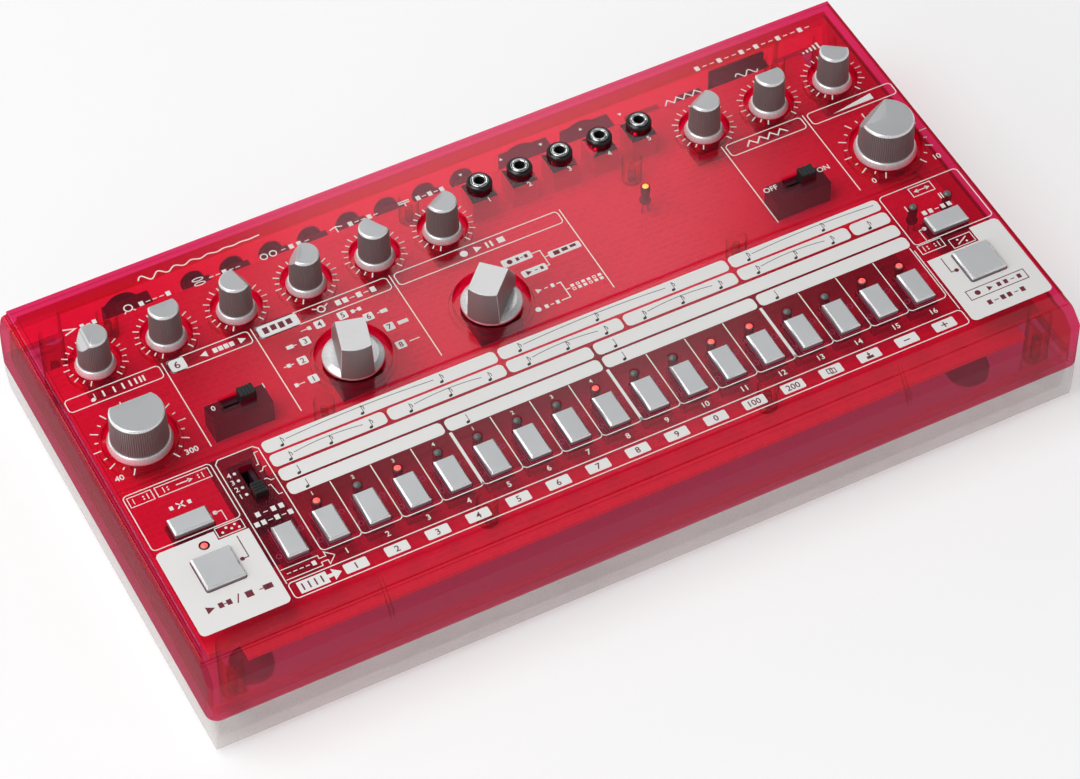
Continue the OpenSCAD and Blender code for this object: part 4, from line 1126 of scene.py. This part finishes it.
# writing and playing
plain.dot(-10.8, 0, 1.3, 20)
plain.arrow(-6.1, 0, 1.6)
for x in (-2.6, -1.0):
    plain.box(x - 0.35, -1.25, x + 0.35, 1.25)
plain.box(1.2, -1.15, 3.6, 1.15)
# distortion: a clipped wave
plain.line([(92.4 + 1.9 * k, 1.05 if k % 2 else -1.05) for k in range(9)], 0.5)
# volume: a wedge
plain.prism([(124.6, -1.25), (140.0, -1.25), (140.0, 1.35)])

# what each small knob does
LABEL_Y = 56.85
accent, bass, snare, tom, cymbal, hihat, distortion, tone, level = (
    white.at(x, LABEL_Y) for _, x, _ in SMALL_KNOBS
)
accent.line([(-4.2, 1.2), (-0.4, 0), (-4.2, -1.2)], 0.5)
accent.steps(1.2, 7.0, 0, 1.7, "101")
bass.ring(-6.4, 0.2, 1.55, 0.42)
bass.line([(-7.6, -0.9), (-8.3, -1.7)], 0.4)
bass.line([(-5.2, -0.9), (-4.5, -1.7)], 0.4)
bass.steps(-2.9, 8.3, 0, 1.9, "10001")
for y in (1.0, -0.9):
    snare.prism(*(round_loop(-6.3, y, r, 24, flat) for r, flat in ((2.0, 0.4), (1.6, 0.27))))
snare.steps(-2.9, 8.3, 0, 1.9, "00100")
for x in (-7.8, -4.6):
    tom.ring(x, 0, 1.35, 0.42)
tom.steps(-1.9, 8.3, 0, 1.9, "0110")
cymbal.line([(-8.6, 0.4), (-6.4, 1.1), (-4.2, 0.4)], 0.42)
cymbal.line([(-6.4, 0.9), (-6.4, -1.5)], 0.4)
cymbal.steps(-2.4, 8.5, 0, 1.9, "10010")
for y in (0.9, 0.1):
    hihat.line([(-8.4, y), (-4.4, y)], 0.42)
hihat.line([(-6.4, 0.1), (-6.4, -1.5)], 0.4)
hihat.steps(-2.4, 8.0, 0, 1.9, "10101")
distortion.line([(-6.9 + 1.7 * k, 1.0 if k % 2 else -1.0) for k in range(9)], 0.45)
tone.line([(-4.2 + 0.42 * k, 1.05 * math.sin(math.pi * k / 5)) for k in range(21)], 0.42)
for k, tall in enumerate((0.8, 1.3, 1.8, 2.3, 2.8)):
    level.box(-3.35 + 1.5 * k, -1.3, -2.65 + 1.5 * k, -1.3 + tall)

# the two groups of titles on the rear strip: a plain wave and a row of steps
title = white.at(0, 66.1)
fading = [(0.55 * k - 107.6, 1.6 * math.sin(0.6 * k) * math.exp(-k / 28)) for k in range(78)]
title.line(fading, 0.45)
title.steps(94.0, 138.0, 0, 2.0, "1001001010010010")

# marks and labels by the sockets
for k, (x, _) in enumerate(DECK_SOCKETS):
    white.arrow(x - 3.4, 59.6, 0.75, 90 if k % 2 else 270)
    white.number(str(k + 1), x, 45.6, 2.0)

# the instrument dial: eight numbers, each with its own row of dots
for number, x, y, side in (
    (1, -75.60, 3.38, -1),
    (2, -75.49, 11.70, -1),
    (3, -71.40, 18.52, -1),
    (4, -64.43, 22.83, -1),
    (5, -56.36, 22.82, 1),
    (6, -49.30, 18.51, 1),
    (7, -45.33, 11.68, 1),
    (8, -45.34, 3.36, 1),
):
    white.box(x - 1.6, y - 1.6, x + 1.6, y + 1.6, 0.5)
    dark.number(str(number), x, y, 2.1)
    bits = f"{number % 8:03b}"[::-1]
    near, far = sorted((x + side * 2.8, x + side * 6.6))
    white.steps(near, far, y, 1.5, bits)

# the mode dial: writing, playing, and what is written or played
for x0, y0, x1, y1 in (
    (-2.16, 16.66, 8.28, 19.97),
    (1.52, 9.94, 10.26, 12.96),
    (12.95, 13.64, 24.18, 16.46),
):
    white.box(x0, y0, x1, y1, 0.7)
dark.dot(0.5, 18.3, 0.95)
dark.steps(2.6, 7.0, 18.3, 1.4, "101")
dark.arrow(3.8, 11.45, 1.2)
dark.steps(5.9, 9.2, 11.45, 1.3, "01")
for k in range(3):
    dark.box(14.6 + k * 3.0, 14.2 + 0.3 * k, 16.7 + k * 3.0, 15.9)
white.line([(8.28, 18.3), (11.3, 18.3), (11.3, 11.45), (10.26, 11.45)])
white.line([(11.3, 15.05), (12.95, 15.05)])
white.arrow(3.0, 3.2, 1.2)
white.steps(5.0, 8.8, 3.2, 1.5, "01")
white.dot(-0.6, -3.8, 1.0)
white.steps(1.6, 7.1, -3.8, 1.5, "101")
for k in range(6):
    for row in range(2):
        x, y = 13.6 + k * 1.95, -1.25 + row * 1.55
        if (k + 2 * row) % 3:
            white.box(x - 0.6, y - 0.55, x + 0.6, y + 0.55)
        else:
            white.outline(x - 0.6, y - 0.55, x + 0.6, y + 0.55, w=0.25)
white.line([(9.4, 3.2), (10.9, 3.2), (10.9, -3.8), (7.7, -3.8)])
white.line([(10.9, -0.4), (12.5, -0.4)])

# the slide switches, and the ends of the tempo and volume scales
for text, x, y, height in (
    ("0", -108.3, 6.9, 2.0),
    ("1", -90.6, 8.1, 2.0),
    ("OFF", 89.7, 7.28, 2.1),
    ("ON", 109.3, 7.28, 2.1),
    ("40", -145.1, -5.1, 2.2),
    ("300", -121.0, -5.2, 2.2),
    ("0", 121.3, -5.1, 2.2),
    ("10", 145.0, -5.2, 2.2),
):
    white.number(text, x, y, height)

# ---- lower section: the box with the clear button and the panel with the start button
white.outline(-147.67, -35.94, -118.18, -12.24, 1.6)
white.outline(-146.6, -17.6, -138.5, -13.4, w=0.3)
white.outline(-137.5, -17.6, -119.5, -13.4, w=0.3)
for x0, x1, heads in ((-144.9, -140.2, (-141.6,)), (-135.0, -122.0, (-133.6, -123.4))):
    for x in (x0, x1):
        white.box(x - 0.14, -16.6, x + 0.14, -14.4)
    for x in heads:
        for y in (-15.0, -16.0):
            white.dot(x, y, 0.3, 8)
white.line([(-130.9, -15.5), (-126.3, -15.5)], 0.4)
white.arrow(-126.3, -15.5, 1.0)
white.line([(-134.0, -24.3), (-131.6, -22.0)], 0.5)
white.line([(-134.0, -22.0), (-131.6, -24.3)], 0.5)
white.steps(-136.6, -135.0, -23.2, 1.5, "1")
white.steps(-130.6, -129.0, -23.2, 1.5, "1")
white.dot(-124.8, -30.8, 0.75)
white.line([(-124.8, -30.8), (-122.7, -30.8), (-122.7, -35.0)], 0.3)


def panel(side, x0, x1, y_top, notch_x, notch_y):
    """A panel with round corners, cut out for the small box at its top and for the button.
    The left one is cut out for a lamp too."""
    loop = corners(x0, -71.98, x1, y_top, 1.8)
    if side < 0:
        kept = [p for p in loop if p[0] < notch_x or p[1] < notch_y]
        at = next(k for k, p in enumerate(kept) if p[0] < notch_x and p[1] > notch_y)
        step = [(x1, notch_y), (notch_x, notch_y), (notch_x, y_top)]
    else:
        kept = [p for p in loop if p[0] > notch_x or p[1] < notch_y]
        at = next(k for k, p in enumerate(kept) if p[0] < notch_x and p[1] < notch_y)
        step = [(notch_x, y_top), (notch_x, notch_y), (x0, notch_y)]
    x, half = side * EDGE_X, 13.5 / 2
    holes = [corners(x - half, BUTTON_Y - half, x + half, BUTTON_Y + half, 0.9)]
    if side < 0:
        holes.append(round_loop(x, LAMP_Y, 1.75, 28))
    white.prism(kept[:at] + step + kept[at:], *holes)


panel(-1, -147.70, -118.22, -37.14, -128.2, -40.9)
panel(1, 118.24, 147.76, -37.18, 137.6, -43.3)
white.outline(-127.8, -40.4, -118.8, -36.3, w=0.3)
for x, y in ((-125.9, -38.9), (-124.3, -37.6), (-122.8, -38.6), (-121.4, -37.5), (-120.5, -39.1)):
    white.dot(x, y, 0.45, 8)
dark.line([(-122.7, -42.0), (-122.7, -50.7), (-124.6, -50.7)], 0.32)
dark.dot(-124.8, -50.7, 0.75)
dark.arrow(-141.4, -63.6, 1.7)
dark.steps(-138.7, -134.0, -63.6, 2.0, "101")
dark.line([(-132.8, -65.2), (-131.4, -62.0)], 0.4)
dark.box(-129.6, -64.8, -127.2, -62.4)
dark.steps(-125.4, -120.6, -63.6, 2.0, "011")

# ---- the scale switch: its box, four places with numbers, and lines to the four rows
white.line(
    [
        (-117.0, STRIP_TOP + 0.2),
        (-117.0, -14.0),
        (-115.7, -12.55),
        (-104.0, -12.55),
        (-102.6, -14.0),
        (-102.46, -57.6),
    ]
)
for k in range(4):
    y = -19.85 - 3.0 * k
    white.dot(-113.35, y, 0.55, 10)
    white.number(str(4 - k), -115.25, y, 1.9)
for points in (
    [(-106.1, -19.8), (-105.2, -19.8), (-104.6, -15.0), (-103.3, -15.0)],
    [(-106.1, -22.6), (-105.2, -22.6), (-104.4, -21.4), (-103.3, -21.4)],
    [(-106.1, -25.9), (-105.2, -25.9), (-104.4, -27.1), (-103.3, -27.1)],
    [(-106.1, -28.7), (-105.2, -28.7), (-104.6, -33.2), (-103.3, -33.2)],
):
    white.line(points, 0.3)
white.steps(-114.6, -104.9, -37.5, 1.9, "1011")
white.steps(-116.4, -103.4, -41.0, 1.9, "110101")

# ---- the four rows of note lengths
LENGTH_ROWS = (
    (-17.35, -12.36, (-20.7, 61.8)),
    (-23.43, -18.28, (-62.0, -20.7, 20.6, 61.8, 103.1)),
    (-29.64, -24.53, (6.7,)),
    (-35.56, -30.54, (-48.3, 6.7, 61.8)),
)
for y0, y1, gaps in LENGTH_ROWS:
    edges = [-101.41, *(e for gap in gaps for e in (gap - 0.5, gap + 0.5)), 117.26]
    for x0, x1 in zip(edges[::2], edges[1::2]):
        white.box(x0, y0, x1, y1, 1.6)


def note(x, y, flag):
    """A short note with its head at x, y."""
    ink = notes.at(x, y)
    ink.prism(round_loop(0, 0, 0.72, 14, 0.68, 25))
    ink.line([(0.55, 0.1), (0.55, 3.1)], 0.2)
    if flag:
        ink.line([(0.6, 3.0), (1.25, 2.1), (1.15, 1.2)], 0.24)


def slur(x0, x1, y):
    """A thin flat bow between two notes."""
    bow = [(x0 + (x1 - x0) * k / 8, y - 0.9 * (2 * k / 8 - 1) ** 2) for k in range(9)]
    notes.line(bow, 0.2)


for first in (0, 6, 12):
    last = min(first + 4, 15)
    for k in range(first, last + 1, 2):
        note(step_at(k), -16.35, True)
    slur(step_at(first) + 2, step_at(last) - (2 if last < 15 else -6), -13.6)
for first in range(0, 16, 3):
    for k in range(first, min(first + 3, 16)):
        note(step_at(k), -22.6, True)
    if first < 15:
        slur(step_at(first) + 2, step_at(first + 2) - 2, -19.6)
for k in (0, 8):
    note(step_at(k), -28.6, False)
for k in (0, 4, 8, 12):
    note(step_at(k), -34.6, False)

# ---- the step columns, their numbers and the strip below them
FIRST_LINE, LINE_Y = -102.46, -59.13
COLUMN, ARC_R = 23.23, 1.5  # height of a line between columns, and its rounding at the foot
for k in range(STEP_COUNT + 1):
    ink = white.at(FIRST_LINE + k * STEP_PITCH, LINE_Y)
    if k in (4, 8, 12):
        ink.box(-0.5, 0.4, 0.5, COLUMN)
    elif k:
        ink.line([(0, COLUMN), (0, 1.4)])
    for side in (-1, 1):
        if (k, side) in ((0, -1), (STEP_COUNT, 1)):
            continue
        turns = [math.radians(a) for a in range(0, 91, 18)]
        ink.line([(side * ARC_R * (1 - math.cos(a)), ARC_R * (1 - math.sin(a))) for a in turns])
    if k < STEP_COUNT:
        ink.line([(1.4, 0), (STEP_PITCH - 1.4, 0)])
for k in range(STEP_COUNT):
    white.number(str(k + 1), step_at(k) - 0.1, -62.34, 2.1)
white.outline(-117.12, STRIP_LOW - 0.2, 117.23, STRIP_TOP + 0.17, 1.5)
white.line([(117.05, STRIP_TOP + 0.2), (117.05, -37.5)])
STRIP = ("1", "2", "3", "4", "5", "6", "7", "8", "9", "0", "100", "200")
for k in range(STEP_COUNT):
    ink, mark = (each.at(-95.65 + k * STEP_PITCH, -68.71) for each in (white, dark))
    ink.box(-3.85, -1.9, 3.85, 1.9, 0.5)
    if k < len(STRIP):
        mark.number(STRIP[k], 0, 0, 2.3)
    elif k == 12:
        mark.outline(-1.5, -0.9, 0.5, 1.2, w=0.28)
        mark.outline(-0.5, -1.3, 1.5, 0.8, w=0.28)
    elif k == 13:
        mark.box(-1.2, -1.3, 1.2, -0.2)
        mark.line([(0, 1.4), (0, 0.3)], 0.35)
        mark.arrow(0, 0.35, 0.7, 270)
    else:
        mark.box(-1.1, -0.2, 1.1, 0.2)
        if k == 15:
            mark.box(-0.2, -1.1, 0.2, 1.1)
# two arrows at the strip's left end
ink = white.at(-99.6, -62.1)
lower = [(-17.0, -2.1), (-4.8, -2.1), (-4.8, -0.8), (-2.6, -0.8), (-2.6, -2.5)]
ink.line([*lower, (0, 0)], 0.3)
ink.line([(0, 0), *((x, -y) for x, y in lower[::-1])], 0.3)
ink.steps(-16.0, -6.0, 0, 1.7, "00001")
lower = [(-14.2, -2.25), (-4.6, -2.25), (-4.6, -0.65), (-2.8, -0.65), (-2.8, -2.25)]
white.at(-100.4, -68.65).prism([*lower, (0, 0), *((x, -y) for x, y in lower[::-1])])
for k in range(4):
    dark.box(-113.4 + 2.1 * k, -70.0, -112.9 + 2.1 * k, -67.3)

# small numbers above the lamps
for k in range(8):
    white.number(str(k % 4 + 1), step_at(k), -37.6, 1.5)

# ---- right-hand boxes
white.outline(118.25, -36.08, 147.68, -12.35, 1.6)
white.outline(128.8, -17.6, 137.0, -13.4, w=0.3)
white.arrow(130.9, -15.5, 1.0, 180)
white.arrow(134.9, -15.5, 1.0)
white.box(131.0, -15.65, 134.8, -15.35)
for x, marks in ((124.4, 1), (137.0, 2)):
    for m in range(marks):
        white.box(x - 0.6 + m * 0.8, -22.0, x - 0.2 + m * 0.8, -19.6)
white.steps(127.4, 138.4, -25.0, 1.8, "11011")
white.line([(124.7, -30.8), (122.8, -30.8), (122.8, -36.3)], 0.3)
white.dot(124.7, -30.8, 0.75)
white.outline(118.5, -40.4, 127.3, -36.3, w=0.3)
for x in (120.2, 125.6):
    white.box(x - 0.14, -39.5, x + 0.14, -37.2)
for y in (-37.9, -38.9):
    white.dot(121.6, y, 0.3, 8)
    white.dot(124.2, y, 0.3, 8)
white.outline(128.8, -42.8, 137.0, -38.5, w=0.3)
white.line([(131.0, -41.7), (134.8, -39.6)], 0.4)
for x, y in ((131.6, -39.8), (134.2, -41.5)):
    white.dot(x, y, 0.4, 8)
dark.line([(122.8, -44.3), (122.8, -50.9), (124.7, -50.9)], 0.32)
dark.dot(124.7, -50.9, 0.75)
dark.outline(122.1, -64.3, 143.6, -60.0, w=0.3)
dark.dot(125.6, -62.15, 1.0)
dark.arrow(130.0, -62.15, 1.2)
dark.steps(132.6, 141.8, -62.15, 1.7, "1101")
dark.steps(126.0, 140.0, -67.4, 1.9, "101101")

# painted glints: pink rings and lines by each narrow button, standing in for the glints of the
# bosses under the deck
painted_glints = Ink(-0.01, 0.02)
for k in range(-1, STEP_COUNT):
    x = step_at(k)
    painted_glints.ring(x + 4.9, -48.2, 0.95, 0.22, 20)
    painted_glints.ring(x - 5.5, -55.0, 0.95, 0.22, 20)
    painted_glints.line([(x - 4.1, -44.0), (x - 4.1, -58.3), (x + 4.1, -58.3)], 0.18)
painted_glints.finish("painted_glint_rings", PINK_GLINT)

white.finish("white_prints", WHITE_INK)
dark.finish("dark_prints", DARK_INK)
notes.finish("note_prints", NOTE_INK)

# ticks around the knobs
for group, y, long_r, short_r in (
    (SMALL_KNOBS, SMALL_ROW_Y, (8.55, 10.6), (8.55, 10.0)),
    (LARGE_KNOBS, DIAL_ROW_Y, (12.8, 15.4), (12.85, 14.0)),
):
    for node, x, _ in group:
        bm = bmesh.new()
        for count, first, (inner, outer) in ((11, -60, long_r), (10, -45, short_r)):
            mesh = TICKS.run(
                node + "_ticks",
                count=count,
                first_angle=math.radians(first),
                step_angle=math.radians(30),
                radius=(inner + outer) / 2 * MM,
                length=(outer - inner) * MM,
                width=0.4 * MM,
                thickness=(PRINT_T + 0.01) * MM,
                ink=WHITE_INK,
            )
            take_in(bm, mesh)
        move = (Vector((x, y, (PRINT_T - 0.01) / 2)) + DECK) * MM
        bmesh.ops.translate(bm, vec=move, verts=bm.verts)
        from_bmesh(node + "_ticks", bm, [WHITE_INK])


# ------------------------------------------------ floor, light and camera


def make_camera():
    """A long lens, high at the front left."""
    target = (Vector((-15.343, -33.297, 0)) + DECK) * MM
    azimuth, elevation, roll = (math.radians(a) for a in (-26.96, 49.91, -0.586))
    back = Vector(
        (
            math.sin(azimuth) * math.cos(elevation),
            -math.cos(azimuth) * math.cos(elevation),
            math.sin(elevation),
        )
    )
    level = Vector((math.cos(azimuth), math.sin(azimuth), 0))
    upright = back.cross(level)
    right = level * math.cos(roll) + upright * math.sin(roll)
    up = upright * math.cos(roll) - level * math.sin(roll)
    data = bpy.data.cameras.new("camera")
    data.sensor_fit, data.sensor_width, data.lens = "HORIZONTAL", 36, 133.68
    data.clip_start, data.clip_end = 0.05, 20
    camera = bpy.data.objects.new("camera", data)
    SCENE.collection.objects.link(camera)
    axes = Matrix((right, up, back)).transposed().to_4x4()
    camera.matrix_world = Matrix.Translation(target + back * 1.24373) @ axes
    SCENE.camera = camera


def make_floor():
    """A pale floor that glows a little to the camera, also in a mirror and through a clear wall."""
    material, tree, bsdf, output = new_material("pale_floor")
    gloss = ranged(tree, object_noise(tree, 3.0), 0.22, 0.26)
    pale = (0.9, 0.9, 0.9, 1)
    fill(tree, bsdf, {"Base Color": pale, "Roughness": gloss, "Specular IOR Level": 0.35})
    rays = add(tree, "ShaderNodeLightPath").outputs
    seen = calculated(tree, "MAXIMUM", rays["Is Camera Ray"], rays["Is Glossy Ray"])
    seen = calculated(tree, "MAXIMUM", seen, rays["Is Transmission Ray"])
    glow = add(tree, "ShaderNodeEmission", {"Strength": 1.26})
    lifted = mixed(tree, calculated(tree, "MULTIPLY", seen, 0.34), bsdf, glow)
    fill(tree, output, {"Surface": lifted.outputs[0]})
    bm = bmesh.new()
    bmesh.ops.create_grid(bm, x_segments=1, y_segments=1, size=6.0)
    mesh = bpy.data.meshes.new("floor")
    bm.to_mesh(mesh)
    bm.free()
    linked("floor", mesh, [material])


def make_world():
    """White at the horizon, as in a curved white studio, and dimmer overhead."""
    world = bpy.data.worlds.new("studio")
    SCENE.world = world
    world.use_nodes = True
    tree = world.node_tree
    coords = add(tree, "ShaderNodeTexCoord").outputs["Generated"]
    height = add(tree, "ShaderNodeSeparateXYZ", {"Vector": coords}).outputs["Z"]
    sky = two_tone(tree, height, (0.85, 0.85, 0.85), (0.10, 0.10, 0.11), (0.05, 0.72))
    fill(tree, tree.nodes["Background"], {"Color": sky, "Strength": 1.0})


def make_light(name, place, target, size, watts):
    data = bpy.data.lights.new(name, "AREA")
    data.shape = "RECTANGLE"
    data.size, data.size_y = size
    data.energy = watts
    light = bpy.data.objects.new(name, data)
    SCENE.collection.objects.link(light)
    light.location = place
    light.rotation_euler = (Vector(target) - Vector(place)).to_track_quat("-Z", "Y").to_euler()


make_camera()
make_floor()
make_world()
make_light("overhead_softbox", (-0.9, 0.1, 1.7), (0, 0, 0), (1.4, 1.4), 27)
make_light("side_softbox", (-1.6, -0.5, 0.8), (0, 0, 0.03), (0.8, 0.8), 5)
make_light("front_card", (0.43, -1.1, 0.83), (0, 0, 0.03), (0.9, 0.3), 0.4)
make_light("left_card", (-1.3, 0.95, 0.5), (0, 0, 0.03), (0.9, 0.3), 1.5)
make_light("sheen_card", (0.62, 1.29, 1.55), (-0.02, 0.02, 0.0436), (0.40, 0.36), 1.1)

SCENE.view_settings.view_transform = "Standard"
SCENE.cycles.transparent_max_bounces = 32


# ------------------------------------------------ the CAD nodes that stay

for material, nodes in {
    RED_CLEAR: ["rear_panel"],
    WHITE_BOARD: ["front_board"],
    GREEN_BOARD: ["rear_board"],
    BLACK_MOULDED: ["board_chips", "rotary_switches", "power_inlet", "power_switch"],
    BLACK_GLOSS: ["power_rocker"],
    SCREW_STEEL: ["case_screws", "board_screws"],
    STAMPED_STEEL: ["potentiometers", "data_socket"],
    FOOT_RUBBER: ["rubber_feet"],
    GREY_SWITCH: ["push_switches"],
    SWITCH_BODY: ["slide_switches"],
    SOCKET_GREY: ["voice_sockets", "mix_socket", "five_pin_sockets"],
}.items():
    for node in nodes:
        mesh = frame["nodes"][node].data
        mesh.materials.clear()
        mesh.materials.append(material)
